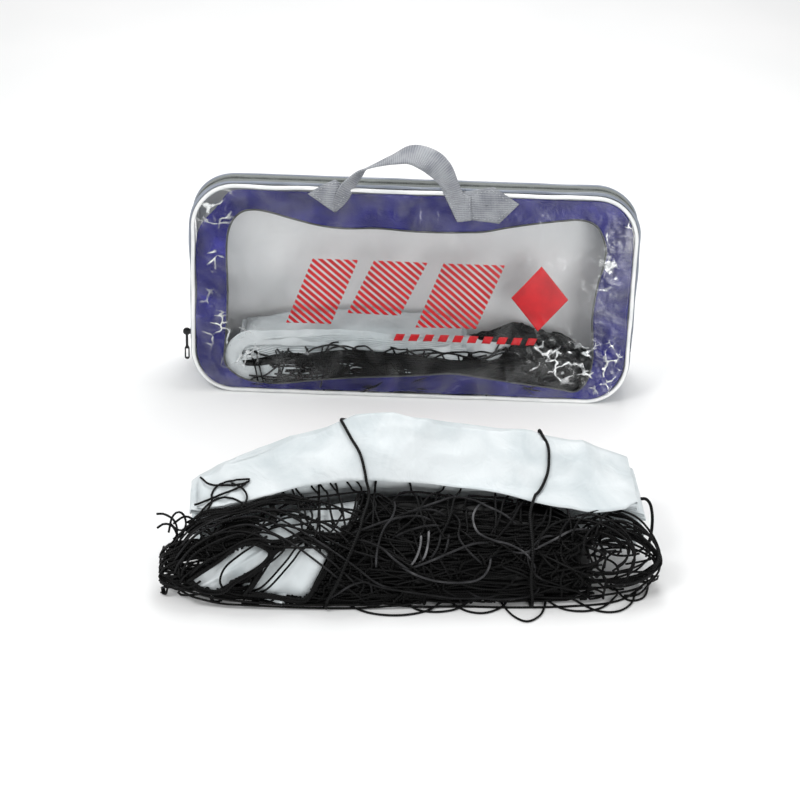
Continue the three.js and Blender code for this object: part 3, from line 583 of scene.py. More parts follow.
# %% Run the bead round the window
edge_3d = np.stack([inner[:, 0], y[-1] - 0.5, inner[:, 1]], -1)
points, faces, uv = tube(edge_3d, 1.0, sides=8, closed=True)
points[:, 1] = np.repeat(edge_3d[:, 1], 8) + (points[:, 1] - np.repeat(edge_3d[:, 1], 8)) * 0.5
bead = make_piece("window_bead", points, faces, "bag", uv)
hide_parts("window_weld")
bead_pvc, shader, add = new_material("heat-sealed dark PVC bead")
place = add("TexCoord", "Object")
cloud = add("TexNoise", "Fac", Vector=place, Scale=90.0, Detail=3.0)
fill(shader, Base_Color=add("ValToRGB", "Color", Fac=cloud, stops=[(0.3, "#2c2d2f"), (0.75, "#5a5d5b")]),
     Normal=add("Bump", "Normal", Height=cloud, Strength=0.3, Distance=0.0004), Roughness=0.35)
dress(bead, bead_pvc)

# %% [markdown]
# ## The back
# The back is a pale grey PVC sheet with a frosted face, which gives the window its light grey. It is slack
# as well, but less creased than the front. The colour asks which way the surface faces: the inner face,
# seen through the window, is painted lighter and the outer face darker, as painted light and shade.

# %% Make the back sheet
x, z = panel_grid(3.6, 160, 90)
slack = 1.5 * waves(11, (150, 80), x, z) + 0.5 * waves(12, (40, 25), x, z)
y = back_plane(z) + edge_fade(x, z, 6, 20, 16) * slack
back_sheet = make_piece("back_sheet", rows_of(x, y, z), grid_faces(*x.shape)[:, ::-1], "bag_back")
thicken(back_sheet, 0.9, 0)
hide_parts("back_panel")
frosted, shader, add = new_material("frosted pale PVC sheet")
place = add("TexCoord", "Object")
cloud = add("TexNoise", "Fac", Vector=place, Scale=7.0, Detail=3.0, Distortion=0.8)
# Painted light and shade: the inner face is made lighter than the outer face.
facing = add("SeparateXYZ", "Y", Vector=add("TexCoord", "Normal"))
painted_side_light = add("MapRange", "Result", Value=facing, From_Min=-1.0, From_Max=1.0, To_Min=0.65, To_Max=0.0)
colour = add("Math", 0, _0=cloud, _2=painted_side_light, operation="MULTIPLY_ADD", _1=0.35)
fill(shader, Base_Color=add("ValToRGB", "Color", Fac=colour,
                            stops=[(0.1, "#b9c0c4"), (0.25, "#d2d8da"), (0.75, "#eef1f2"),
                                   (0.92, "#fbfcfc")]))
grain = add("TexNoise", "Fac", Vector=place, Scale=900.0, Detail=1.0)
fill(shader, Normal=add("Bump", "Normal", Height=grain, Strength=0.2, Distance=0.0003), IOR=1.53,
     Roughness=0.42)
dress(back_sheet, frosted)

# %% [markdown]
# ## Piping
# Two white piping cords edge the bag. Each is a PVC tube sewn into the seam, round and 4 mm thick, and it
# wanders a little between the stitches, so it is a tube round the outline with a slow wave in it.

# %% Run the two pipings
def run_piping(name, body, plane, middle, replaced, seed):
    loop = rim_line(2.1, 2.5)
    x, z = loop[:, 0], loop[:, 1]
    wander = waves(seed, (70, 38), x, z)
    route = np.stack([x * (1 - 0.0016 * wander), plane(z) + middle + 0.35 * wander,
                      np.maximum(z + 0.3 * wander, 2.1)], -1)
    piece = tube_piece(name, body, tube(route, 2.05, sides=12, closed=True))
    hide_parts(replaced)
    return piece


pipings = [
    run_piping("piping_front", "bag", front_plane, 0.4, "front_piping", 21),
    run_piping("piping_back", "bag_back", back_plane, -0.5, "back_piping", 22),
]
piping_pvc, shader, add = new_material("extruded white PVC piping")
place = add("TexCoord", "Object")
soil = add("TexNoise", "Fac", Vector=place, Scale=40.0, Detail=5.0)
fill(shader, Base_Color=add("ValToRGB", "Color", Fac=soil, stops=[(0.3, "#dfe2e2"), (0.6, "#f6f7f6")]),
     Normal=add("Bump", "Normal", Height=soil, Strength=0.2, Distance=0.0005), Roughness=0.3)
for piece in pipings:
    dress(piece, piping_pvc)

# %% [markdown]
# ## The sides
# Between the pipings run strips of grey-blue PVC, with the zip in their middle round the top half and one
# wide strip under the base. Each is a ribbon that follows the outline and goes from one sloping plane to
# another. They belly out a little between the seams, as slack sheet does.

# %% Make the side strips
zip_end = 54
loop = rim_line(0, 2.5)


def rim_strip(name, body, keep, front, back, belly, thickness, rows, replaced):
    start = np.argmax(keep & ~np.roll(keep, 1))
    line = np.roll(loop, -start, 0)[:keep.sum()]
    x, z = line[:, 0], line[:, 1]
    outward = np.gradient(line, axis=0)[:, ::-1] * [-1, 1]
    outward /= np.linalg.norm(outward, axis=1)[:, None]
    share = np.linspace(0, 1, rows)[:, None]
    out = belly * np.sin(share * math.pi) * (0.7 + 0.5 * waves(31, (80, 45), x, z)) * np.where(z < 8, 0, 1)
    y = front(z) * (1 - share) + back(z) * share
    points = np.stack([x + outward[:, 0] * out, y, np.maximum(z + outward[:, 1] * out, 0)], -1)
    piece = make_piece(name, points.reshape(-1, 3), grid_faces(rows, len(x))[:, ::-1], body,
                       uv=rows_of(np.arange(len(x)) * 2.5, y))
    thicken(piece, thickness, -1)
    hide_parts(replaced)
    return piece


above, below = loop[:, 1] > zip_end, loop[:, 1] <= zip_end - 0.3
strips = [
    rim_strip("side_front", "bag", above, lambda z: front_plane(z) + 2.3, lambda z: zip_plane(z) - 8, 2.0,
              0.9, 9, "gusset_front"),
    rim_strip("side_back", "bag_back", above, lambda z: zip_plane(z) + 8, lambda z: back_plane(z) - 2.4, 1.2,
              0.9, 7, "gusset_back"),
    rim_strip("base_strip", "bag", below, lambda z: front_plane(z) + 2.3, lambda z: back_plane(z) - 2.9, 0.8,
              0.9, 15, "gusset_base"),
]
grey_pvc, shader, add = new_material("leathercloth-grained grey-blue PVC")
place = add("TexCoord", "Object")
cloud = add("TexNoise", "Fac", Vector=place, Scale=16.0, Detail=3.0)
fill(shader, Base_Color=add("ValToRGB", "Color", Fac=cloud, stops=[(0.3, "#6c7380"), (0.7, "#9097a3")]))
grain = add("TexVoronoi", "Distance", Vector=place, Scale=700.0)
fill(shader, Normal=add("Bump", "Normal", Height=grain, Strength=0.35, Distance=0.0003), Roughness=0.45)
for strip in strips:
    dress(strip, grey_pvc)

# %% [markdown]
# ## The zip
# The zip's two cloth tapes are woven in a fine herringbone. Between them runs a row of nylon teeth, which
# are one coil in the real zip. One tooth is modelled, a small block with rounded edges, and it is copied
# along both edges of the gap, turned to the outline at each place.

# %% Weave the zip tapes
tapes = [
    rim_strip("zip_tape_front", "bag", above, lambda z: zip_plane(z) - 8.3, lambda z: zip_plane(z) - 0.6, 0.3,
              0.9, 5, "zipper_tape_front"),
    rim_strip("zip_tape_back", "bag_back", above, lambda z: zip_plane(z) + 0.6, lambda z: zip_plane(z) + 8.3,
              0.3, 0.9, 5, "zipper_tape_back"),
]
tape_cloth, shader, add = new_material("woven polyester zip tape")
stripes = add("TexCoord", "UV")
twill = add("Mapping", 0, Vector=stripes, Rotation=(0, 0, 0.8))
weave = add("TexWave", "Fac", Vector=twill, Scale=0.32, Distortion=0.4, Detail=1.0)
fill(shader, Base_Color=add("ValToRGB", "Color", Fac=weave, stops=[(0.2, "#5f6462"), (0.8, "#858a88")]),
     Normal=add("Bump", "Normal", Height=weave, Strength=0.6, Distance=0.0004), Roughness=0.85,
     Sheen_Weight=0.2)
for tape in tapes:
    dress(tape, tape_cloth)

# %% Model one tooth
bpy.ops.object.select_all(action="DESELECT")
bpy.ops.mesh.primitive_cube_add(size=1, location=(0, 0, 0))
tooth = bpy.context.active_object
tooth.scale = (1.1 * MM, 2.0 * MM, 1.4 * MM)
bpy.ops.object.transform_apply(scale=True)
bpy.ops.object.mode_set(mode="EDIT")
bpy.ops.mesh.select_all(action="SELECT")
bpy.ops.mesh.bevel(offset=0.35 * MM, segments=1)
bpy.ops.object.mode_set(mode="OBJECT")
tooth_points = np.array([v.co for v in tooth.data.vertices]) / MM
tooth_faces = [list(f.vertices) for f in tooth.data.polygons]
bpy.data.objects.remove(tooth)
print("one tooth:", len(tooth_points), "points")


def copies(points, faces, places, axes):
    """Copies of a small shape: each place has its own three axes."""
    moved = [p + points @ a for p, a in zip(places, axes)]
    return np.vstack(moved), [[i + k * len(points) for i in f] for k in range(len(moved)) for f in faces]


# %% Copy the teeth along the zip
nylon, shader, add = new_material("moulded grey nylon coil")
place = add("TexCoord", "Object")
wear = add("TexNoise", "Fac", Vector=place, Scale=120.0, Detail=2.0)
fill(shader, Base_Color=add("ValToRGB", "Color", Fac=wear, stops=[(0.35, "#484c4a"), (0.7, "#6d7270")]),
     Roughness=add("MapRange", "Result", Value=wear, To_Min=0.3, To_Max=0.5))
fine_loop = rim_line(-1.0, 1.6)
outward = np.gradient(fine_loop, axis=0)[:, ::-1] * [-1, 1]
outward /= np.linalg.norm(outward, axis=1)[:, None]
for side, body, replaced in ((-1, "bag", "zipper_teeth_front"), (1, "bag_back", "zipper_teeth_back")):
    chosen = [i for i in range(len(fine_loop)) if fine_loop[i, 1] > zip_end + 1]
    places, axes = [], []
    for n, i in enumerate(chosen):
        px, pz = fine_loop[i]
        out = np.array([outward[i, 0], 0, outward[i, 1]])
        run = np.array([-out[2], 0, out[0]])
        places.append([px, zip_plane(pz) + side * (1.15 - 0.1 * (n % 2)), pz])
        axes.append([run, [0, 1, 0], out])
    row = make_piece(f"zip_teeth_{body}", *copies(tooth_points, tooth_faces, np.array(places),
        np.array(axes)), body, smooth=False)
    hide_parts(replaced)
    dress(row, nylon)
    print(replaced, len(places), "teeth")

# %% [markdown]
# ## Slider, pull and stops
# These are small castings under black enamel, and their CAD shapes are right as they are, so they only get
# their finish: satin black, rubbed through to dull metal along the edges that fingers and cloth touch.

# %% Enamel the metal
enamel, shader, add = new_material("black enamel on zinc casting")
place = add("TexCoord", "Object")
rub = add("TexNoise", "Fac", Vector=place, Scale=300.0, Detail=4.0)
edge = add("NewGeometry", "Pointiness")
worn = add("Math", 0, _0=edge, _1=rub, operation="MULTIPLY")
fill(shader, Base_Color=add("ValToRGB", "Color", Fac=worn, stops=[(0.3, "#111114"), (0.42, "#3a3a3c")]),
     Roughness=add("MapRange", "Result", Value=rub, To_Min=0.22, To_Max=0.42), Metallic=0.2)
for name in ("zip_slider", "zip_puller", "zip_stop_left", "zip_stop_right"):
    dress(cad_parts[name], enamel)

# %% [markdown]
# ## The print
# The clear sheet carries a plain print in red ink: three slanting bars and a diamond, and under them a row
# of small dashes. Ink is a skin on the sheet, so each shape is a grid that takes the sheet's own bulges
# and lies just in front of it. The dashes are only ink, so the CAD model leaves them out.

# %% Lay the ink on the sheet
def between_corners(corners, columns, rows):
    """A grid of places between four corners, and each one's shares of the way along and up."""
    a, b = np.meshgrid(np.linspace(0, 1, columns), np.linspace(0, 1, rows), indexing="ij")
    shares = (1 - a) * (1 - b), a * (1 - b), a * b, (1 - a) * b
    c, d = sum(np.array(corner, float)[:, None, None] * share for corner, share in zip(corners, shares))
    return a, b, c, d


def ink_patch(corners, columns, rows):
    _, _, x, z = between_corners(corners, columns, rows)
    return rows_of(x, front_plane(z) - film_shift(x, z) - 0.22, z), grid_faces(columns, rows)


prints = []
slant = 26
for number, (left, right, bottom) in enumerate([(-128, -82, 76), (-66, -12, 88), (4, 66, 76)], 1):
    points, faces = ink_patch([(left, bottom), (right, bottom), (right + slant, 142), (left + slant, 142)],
                              40, 50)
    prints.append(make_piece(f"ink_bar_{number}", points, faces, "bag"))
    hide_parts(f"print_bar_{number}")
points, faces = ink_patch([(100, 109), (129, 76), (158, 109), (129, 142)], 36, 36)
prints.append(make_piece("ink_diamond", points, faces, "bag"))
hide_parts("print_diamond")
dashes = [ink_patch([(x, 62), (x + 9, 62), (x + 12, 69), (x + 3, 69)], 6, 5) + (np.zeros((30, 2)),)
          for x in range(-18, 118, 15)]
points, faces, _ = join_tubes(dashes)
prints.append(make_piece("ink_dashes", points, faces, "bag"))


def red_ink(name):
    material, shader, add = new_material(name)
    place = add("TexCoord", "Object")
    cover = add("TexNoise", "Fac", Vector=place, Scale=60.0, Detail=4.0)
    fill(shader, Base_Color=add("ValToRGB", "Color", Fac=cover, stops=[(0.3, "#b00c18"), (0.65, "#cb101c")]),
         Roughness=0.3)
    return material, shader, add, place


ink, shader, add, place = red_ink("screen-printed red vinyl ink")
mesh_mark = add("TexVoronoi", "Distance", Vector=place, Scale=1400.0)
fill(shader, Normal=add("Bump", "Normal", Height=mesh_mark, Strength=0.15, Distance=0.0002))
for piece in prints:
    thicken(piece, 0.12, 0)
    dress(piece, ink)
print("prints:", len(prints))

# %% [markdown]
# The bars are printed as slanting lines, each about as wide as the gap beside it, so the sheet shows between
# them. They take the ink's colours, and a wave pattern says where there is ink.

# %% Hatch the bars
hatched, shader, add, place = red_ink("hatched red vinyl ink")
lines = add("TexWave", "Fac", Vector=place, bands_direction="DIAGONAL", Scale=72.0)
inked = add("MapRange", "Result", Value=lines, From_Min=0.34, From_Max=0.46)
show_only_where(hatched, add, inked)
for piece in prints[:3]:
    dress(piece, hatched)

# %% [markdown]
# ## The handle
# The handle is one length of grey polypropylene webbing, 27 mm wide and 2 mm thick. It comes up from a
# folded end at the left, is creased lengthwise and so looks narrow there, opens out over the hand, and
# turns on its edge before its right end is folded flat. Stations give its middle, the way its width
# points and how much of the width is seen. It hinges where it meets the bag.

# %% Bend the strap
stations = np.array([
    # middle x, y, z, width's direction times 20, seen width
    (-81, 3.6, 190, 19, 0, -6, 3), (-78, 4.6, 196, 18, 2, -8, 9), (-74, 6.4, 204, 17, 4, -10, 14),
    (-69.5, 8.4, 212.5, 14, 7, -12, 16), (-63.5, 9.6, 221, 11, 12, -13, 16),
    (-57, 10.2, 228.5, 7, 15, -12, 15), (-49, 10.5, 235, 0, 18, -8, 17), (-27, 11.5, 244, 0, 20, -2, 23),
    (-7, 11.5, 251, 2, 19, 6, 27),
    (11, 10.5, 246, 10, 15, 9, 27), (24, 8.5, 236, 15, 9, 11, 23), (33, 8.6, 222, 18, 2, 9, 17),
    (39, 7.4, 212, 19, 0, 5, 14), (44, 5.4, 202, 19.6, 0, 3, 11),
])
line = smooth_line(stations, 2.2)
middle, width_way, width = line[:, :3], line[:, 3:6], line[:, 6]
width_way /= np.linalg.norm(width_way, axis=1)[:, None]
ahead = np.gradient(middle, axis=0)
face_way = np.cross(ahead, width_way)
face_way /= np.linalg.norm(face_way, axis=1)[:, None]
across = np.linspace(-1, 1, 15)
run = run_along(middle)
cup = (0.7 * (1 - across ** 2)[None]
       + 0.45 * waves(71, (40, 17), run[:, None], 13.5 * across[None]) * np.clip(width / 22, 0, 1)[:, None])
strap_points = (middle[:, None] + width_way[:, None] * (across[None, :, None] * width[:, None, None] / 2)
                + face_way[:, None] * cup[..., None])
strap_uv = rows_of(13.5 * across[None], run[:, None])
strap = make_piece("webbing_handle", strap_points.reshape(-1, 3), grid_faces(len(line), len(across)), None,
                   strap_uv)
thicken(strap, 1.7, 0)
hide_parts("handle_strap")
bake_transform(strap)
print("strap's length in mm:", round(run[-1]))

# %% [markdown]
# ## The handle's folded ends
# At both ends the webbing is folded into a flat packet and sewn to the bag. A packet shows two or three
# flat faces that meet at its raised middle, so it is drawn as a fan from that middle to its outline, with
# a row of stitches a little inside the edge.

# %% Fold the ends and stitch them
def packet(outline, hub, forward, raised):
    corners = np.array(outline + outline[:1], float)
    edge = np.vstack([
        a + (b - a) * np.linspace(0, 1, max(int(np.hypot(*(b - a)) / 1.6), 2), endpoint=False)[:, None]
        for a, b in zip(corners, corners[1:])])
    reach = np.linspace(0.02, 1, 12)[:, None, None]
    flat = np.array(hub) + (edge - np.array(hub)) * reach
    x, z = flat[..., 0], bag_height - flat[..., 1]
    y = front_plane(z) - forward - raised * (1 - reach[..., 0]) - 0.3 * waves(73, (16, 9), x, z)
    points = np.stack([x, y, z], -1)
    stitches = []
    for i in range(0, len(edge) - 2, 3):
        a, b = points[9, i] - [0, 0.95, 0], points[9, i + 1] - [0, 0.95, 0]
        stitches.append(tube(np.array([a + [0, 0.5, 0], a * 0.7 + b * 0.3, a * 0.2 + b * 0.8,
                                       b + (b - a) * 0.2 + [0, 0.5, 0]]), 0.34, sides=5))
    return points.reshape(-1, 3), grid_faces(12, len(edge), wrap_columns=True), rows_of(x, z), stitches


def turn_forwards(points, faces):
    """Turns the faces round if most of them look away from the viewer."""
    p = points[np.array(faces)]
    toward = np.cross(p[:, 2] - p[:, 0], p[:, 3] - p[:, 1])[:, 1].sum()
    return [list(f)[::-1] for f in faces] if toward > 0 else [list(f) for f in faces]


left_fold = packet([[-108, 6], [-81, 23.5], [-70, 8], [-73, -4], [-81, -9], [-93, -3.8]], (-80, 3.5),
                   2.3, 2.6)
right_flap = packet([[44, 25], [84, 29], [103, 9], [77, -7], [46, -1]], (70, 11), 2.3, 1.6)
right_riser = packet([[42, 28], [56, 26], [54, 2], [40, -3], [32, -5.8], [24, -5.3]], (47, 12), 4.4, 1.5)
ends, sewn = [], []
for name, parts in (("left", [left_fold]), ("right", [right_flap, right_riser])):
    end = tube_piece(f"webbing_end_{name}", "bag",
                     join_tubes([(p, turn_forwards(p, f), u) for p, f, u, _ in parts]))
    thicken(end, 1.5, -1)
    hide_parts(f"handle_anchor_{name}")
    ends.append(end)
    sewn.append(tube_piece(f"stitches_{name}", "bag", join_tubes([s for part in parts for s in part[3]])))
    print(name, "end:", sum(len(part[3]) for part in parts), "stitches")

# %% Grey webbing and its thread
webbing, shader, add = new_material("woven grey polypropylene webbing")
strip = add("TexCoord", "UV")
place = add("TexCoord", "Object")
picks = add("TexWave", "Fac", Vector=strip, bands_direction="Y", Scale=0.145, Distortion=0.3, Detail=1.0)
ends_up = add("TexWave", "Fac", Vector=strip, bands_direction="X", Scale=0.2, Distortion=0.2, Detail=1.0)
weave = add("Math", 0, _0=ends_up, _2=picks, operation="MULTIPLY_ADD", _1=0.45)
fade_marks = add("TexNoise", "Fac", Vector=place, Scale=55.0, Detail=4.0)
colour = add("Math", 0, _0=weave, _2=fade_marks, operation="MULTIPLY_ADD", _1=0.22)
fill(shader, Base_Color=add("ValToRGB", "Color", Fac=colour,
                            stops=[(0.42, "#6f737b"), (0.62, "#8b8e95"), (0.85, "#a4a7ac")]),
     Normal=add("Bump", "Normal", Height=weave, Strength=0.7, Distance=0.0006), Roughness=0.6,
     Sheen_Weight=0.15)
for piece in [strap] + ends:
    dress(piece, webbing)
thread, shader, add = new_material("spun grey polyester thread")
place = add("TexCoord", "Object")
fuzz = add("TexNoise", "Fac", Vector=place, Scale=800.0)
fill(shader, Base_Color=add("ValToRGB", "Color", Fac=fuzz, stops=[(0.3, "#a2a5aa"), (0.7, "#cdd0d3")]),
     Roughness=0.8)
for piece in sewn:
    dress(piece, thread)

# %% [markdown]
# ## The net in the bag
# Behind the clear sheet lies another net, folded flat: a roll of black netting along the bag's floor, with
# its white header tape laid to and fro on it in ten layers. The netting is a lumpy dark form that fills
# the bag from front to back, with single cords laid on its front where they show.

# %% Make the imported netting
lump_x = np.array([-194, -178, -120, -60, 0, 60, 76, 110, 150, 184, 194])
lump_tops = np.array([14, 30, 40, 44, 42, 38, 44, 56, 48, 30, 12])


def lump_top(x):
    i = np.clip(np.searchsorted(lump_x, x) - 1, 0, len(lump_x) - 2)
    t = np.clip((x - lump_x[i]) / (lump_x[i + 1] - lump_x[i]), 0, 1)
    return lump_tops[i] + (lump_tops[i + 1] - lump_tops[i]) * t * t * (3 - 2 * t)


def floor_rise(x):
    past = np.clip(np.abs(x) - (bag_half - corner), 0, corner - 2.4)
    return corner - 1.6 - np.sqrt((corner - 1.6) ** 2 - past ** 2)


px = np.linspace(-193, 193, 170)
rings = []
for x in px:
    top, foot = lump_top(x), 2.8
    low, high = foot + (top - foot) * 0.35, foot + (top - foot) * 0.8
    ring = [(front_plane(foot) + 12, foot), (front_plane(low) + 4.2, low), (front_plane(high) + 5, high),
            (front_plane(top) + 15, top),
            (back_plane(top) - 18, top), (back_plane(high) - 8, high), (back_plane(low) - 6, low),
            (back_plane(foot) - 12, foot)]
    line = smooth_line(np.array(ring), 2.0, closed=True)
    line = line[np.linspace(0, len(line) - 1, 44).astype(int)]
    rings.append(np.column_stack([np.full(44, x), line[:, 0], np.maximum(line[:, 1], foot + floor_rise(x))]))
rings = np.array(rings)
centre = rings.mean(1, keepdims=True)
inward = (centre - rings) / np.linalg.norm(centre - rings, axis=2)[..., None]
ropes = (1.6 * np.abs(waves(81, (17, 10),
                            0.2 * rings[..., 0] + 5 * waves(82, (50,), rings[..., 0], rings[..., 1]),
                            rings[..., 1], rings[..., 2])) + 1.2)
rings = rings + inward * ropes[..., None] * [0, 1, 1]
faces = [list(f) for f in grid_faces(len(px), 44, wrap_columns=True)]
faces += [list(range(44))[::-1], list(range(len(px) * 44 - 44, len(px) * 44))]
packed = make_piece("packed_heart", rings.reshape(-1, 3), faces, "bag")
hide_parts("packed_netting")

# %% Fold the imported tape
tape_wall = 0.9


def strip_of_runs(layers, pitch, left, right, stagger, spacing):
    """Where a folded strip runs: along, down through the layers, and which layer, for each row of points."""
    rows, ends = [], stagger * np.sin(2.4 * np.arange(layers + 1))
    for k in range(layers):
        rightward = k % 2 == 0
        start = left + ends[k] if rightward else right - ends[k]
        finish = right - ends[k + 1] if rightward else left + ends[k + 1]
        sign = 1 if rightward else -1
        for u in np.linspace(start, finish, int(abs(finish - start) / spacing) + 2):
            rows.append((u, k * pitch, k))
        if k < layers - 1:
            for turn in np.linspace(0, math.pi, 6)[1:-1]:
                rows.append((finish + sign * math.sin(turn) * pitch / 2,
                             (k + 0.5 - 0.5 * math.cos(turn)) * pitch, k + 0.5))
    return np.array(rows)


rows = strip_of_runs(10, 2.2, -172, 54, 4, 5)
u, depth, layer = (rows[:, k, None] for k in range(3))
share = np.linspace(0, 1, 13)
w = 46 * share + 1.6 * waves(83, (70,), u, layer * 7)
swell = (np.exp(-depth / 7) * (1.6 * waves(84, (60, 26), u + 0 * w, w)
                               + 1.2 * (1 - np.abs(waves(85, (38, 22), u + 0 * w, w))) ** 3))
z = lump_top(u) + 21.7 - depth + swell + 0.35 * waves(86, (50, 20), u + 0 * w, w, depth + 0 * w)
z = z - 2.5 * np.clip(0.16 - share, 0, 1) / 0.16 * np.exp(-depth / 12)
y = front_plane(z) + 5 + w - 0.1 * (z - 40)
run = run_along(rows[:, :2])
packed_uv = rows_of(run[:, None], w)
packed_points = rows_of(u, y, z)
packed_band = make_piece("packed_tape_folded", packed_points, grid_faces(len(rows), len(share))[:, ::-1],
                         "bag", packed_uv)
thicken(packed_band, tape_wall, 0)
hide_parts("packed_tape")
print("packed tape:", round(run[-1]), "mm long")

# %% Weave its end band in and out at the front
# Along, up, and how far behind the clear sheet; the last is more where cords hide the band.
weave_line = np.array([
    (58, 17, 12), (34, 19, 12), (10, 18, 4), (-10, 19, 4), (-26, 20, 12), (-44, 24, 12), (-52, 26, 4),
    (-66, 26, 4), (-80, 22, 12), (-94, 20, 4), (-118, 19, 4), (-138, 18, 4),
    (-158, 15, 5), (-174, 17, 4.5), (-182, 28, 4.5), (-181, 43, 4.5), (-168, 54, 4), (-140, 56, 4),
    (-100, 57, 4), (-60, 57, 4), (-20, 55, 4), (6, 50, 6), (16, 46, 12),
    (24, 44, 5), (40, 46, 4.5), (50, 50, 12), (62, 52, 12), (70, 51, 4.5), (88, 49, 4.5), (98, 44, 12),
], float)
line = smooth_line(weave_line, 4.0)
ahead = np.gradient(line[:, 0]), np.gradient(line[:, 1])
heading = np.hypot(*ahead)
side = np.stack([-ahead[1], ahead[0]], 1) / heading[:, None]
b = np.linspace(-1, 1, 11)
half = 9 + 1.2 * np.sin(np.arange(len(line)) / 7)
x = line[:, :1] + side[:, :1] * b * half[:, None]
z = np.maximum(line[:, 1:2] + side[:, 1:] * b * half[:, None], 4 + floor_rise(x))
y = front_plane(z) + line[:, 2:] + 0.8 * waves(87, (30, 14), x, z)
run = run_along(line)
packed_end = make_piece("packed_end_band", rows_of(x, y, z), grid_faces(len(line), 11), "bag",
                        rows_of(run[:, None], 9 * b + 9))
thicken(packed_end, tape_wall, 0)
print("packed end band:", round(run[-1]), "mm long")

# %% Lay cords on its front
packed_rng = np.random.default_rng(9)
packed_cords = []


def packed_cord(route, proud=1.5):
    x, level = np.array(route, float).T
    line = smooth_line(np.stack([np.clip(x, -184, 184), level], 1), 3.0)
    z = np.clip(line[:, 1], 3.6 + floor_rise(line[:, 0]),
                lump_top(line[:, 0]) + 9 + 2 * np.sin(line[:, 0] / 7))
    bump = proud + 0.8 * np.sin(line[:, 0] / 9) + packed_rng.normal(0, 0.1)
    packed_cords.append(np.column_stack([line[:, 0], front_plane(z) + 3.6 - bump, z]))


for k in range(24):
    xs = np.linspace(packed_rng.uniform(-150, -90), packed_rng.uniform(60, 150), 9)
    level = packed_rng.uniform(0.42, 0.98)
    packed_cord(np.column_stack([xs, level * lump_top(xs) + packed_rng.normal(0, 2.0, 9)]),
                packed_rng.uniform(0.6, 2.2))
for k in range(10):
    xs = np.linspace(packed_rng.uniform(-176, -120), packed_rng.uniform(100, 160), 9)
    packed_cord(np.column_stack([xs, packed_rng.uniform(6, 15) + packed_rng.normal(0, 1.5, 9)]),
                packed_rng.uniform(0.6, 2.2))
for k in range(56):
    x = packed_rng.uniform(-150, 100)
    xs = x + np.linspace(0, packed_rng.normal(0, 34), 5)
    packed_cord(np.column_stack([xs,
                                 lump_top(xs) * packed_rng.uniform(0.3, 1.0)
                                 + np.linspace(0, packed_rng.normal(0, 16), 5)
                                 + packed_rng.normal(0, 1.5, 5)]), packed_rng.uniform(0.8, 2.8))
for k in range(12):
    x = packed_rng.uniform(-160, -60)
    xs = x + np.array([0, 0.3, 0.6, 1]) * packed_rng.normal(0, 16)
    packed_cord(np.column_stack([xs, np.array([10, 20, 32, 44]) + packed_rng.normal(0, 3, 4)]),
                packed_rng.uniform(1.0, 2.8))
for k in range(7):
    x = packed_rng.uniform(-110, 30)
    xs = x + np.array([0, 0.25, 0.5, 0.8, 1]) * packed_rng.normal(0, 60)
    packed_cord(np.column_stack([xs,
                                 lump_top(xs) - 3 + packed_rng.uniform(6, 14)
                                 * np.array([0, 0.7, 1, 0.8, packed_rng.uniform(0, 0.6)])]),
                packed_rng.uniform(0.6, 1.6))
for x, z, a, b in ((128, 34, 26, 14), (140, 30, 30, 12), (134, 38, 36, 9), (118, 30, 20, 17),
                   (150, 28, 24, 10), (142, 24, 34, 13), (104, 40, 26, 14), (136, 40, 34, 12),
                   (146, 36, 30, 16)):
    angle = np.linspace(-2.6, 2.4, 10)
    packed_cord(np.column_stack([x + a * np.cos(angle), z + b * np.sin(angle)]), 2.0)

# %% [markdown]
# The bag opens at the back, so its net has cords there too. The form's own grid of points gives their places:
# how far along it, and how far round it from the foot of its front.

# %% Lay cords over its top and back
back_rng = np.random.default_rng(10)


def roll_cord(x, way_round, proud):
    """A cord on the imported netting, by places along it and round it in mm, so many mm proud of it."""
    line = smooth_line(np.column_stack([x, way_round]), 3.0)
    i = np.clip((line[:, 0] + 193) / 386 * (len(px) - 1), 0, len(px) - 1.001)
    j = np.clip(line[:, 1] / 4.5, 0, 42.999)
    a, b = i.astype(int), j.astype(int)
    f, g = (i - a)[:, None], (j - b)[:, None]
    on = ((rings[a, b] * (1 - f) + rings[a + 1, b] * f) * (1 - g)
          + (rings[a, b + 1] * (1 - f) + rings[a + 1, b + 1] * f) * g)
    out = (on - centre[a, 0]) * [0, 1, 1]
    on = on + out / np.linalg.norm(out, axis=1)[:, None] * (proud + 0.5 * np.sin(line[:, 0] / 8))[:, None]
    on[:, 2] = np.maximum(on[:, 2], 3.6 + floor_rise(on[:, 0]))
    packed_cords.append(on)


for _ in range(34):
    xs = np.linspace(-back_rng.uniform(120, 180), back_rng.uniform(110, 180), 9)
    roll_cord(xs, back_rng.uniform(66, 186) + back_rng.normal(0, 4.5, 9), back_rng.uniform(0.2, 1.3))
for _ in range(60):
    x, level = back_rng.uniform(-165, 165), back_rng.uniform(70, 182)
    share = np.linspace(0, 1, 5)
    roll_cord(np.clip(x + share * back_rng.normal(0, 42), -180, 180),
              level + share * back_rng.normal(0, 34) + back_rng.normal(0, 3, 5), back_rng.uniform(0.4, 1.8))
for _ in range(14):
    angle = back_rng.uniform(0, 6.3) + np.linspace(0, back_rng.uniform(3.4, 5.4), 10)
    roll_cord(back_rng.uniform(86, 150) + back_rng.uniform(14, 30) * np.cos(angle),
              back_rng.uniform(72, 150) + back_rng.uniform(8, 20) * np.sin(angle), back_rng.uniform(1.2, 3.0))
tubes = [tube(line, 0.95, sides=6) for line in packed_cords]
packed_net = tube_piece("packed_cords", "bag", join_tubes(tubes))
packed_tones = [np.full(len(t[0]), 0.5 * packed_rng.random() ** 2) for t in tubes]
put_attribute(packed_net, "tone_and_glint", np.concatenate(packed_tones))
print("packed cords:", len(packed_cords), "points:", len(packed_net.data.vertices))

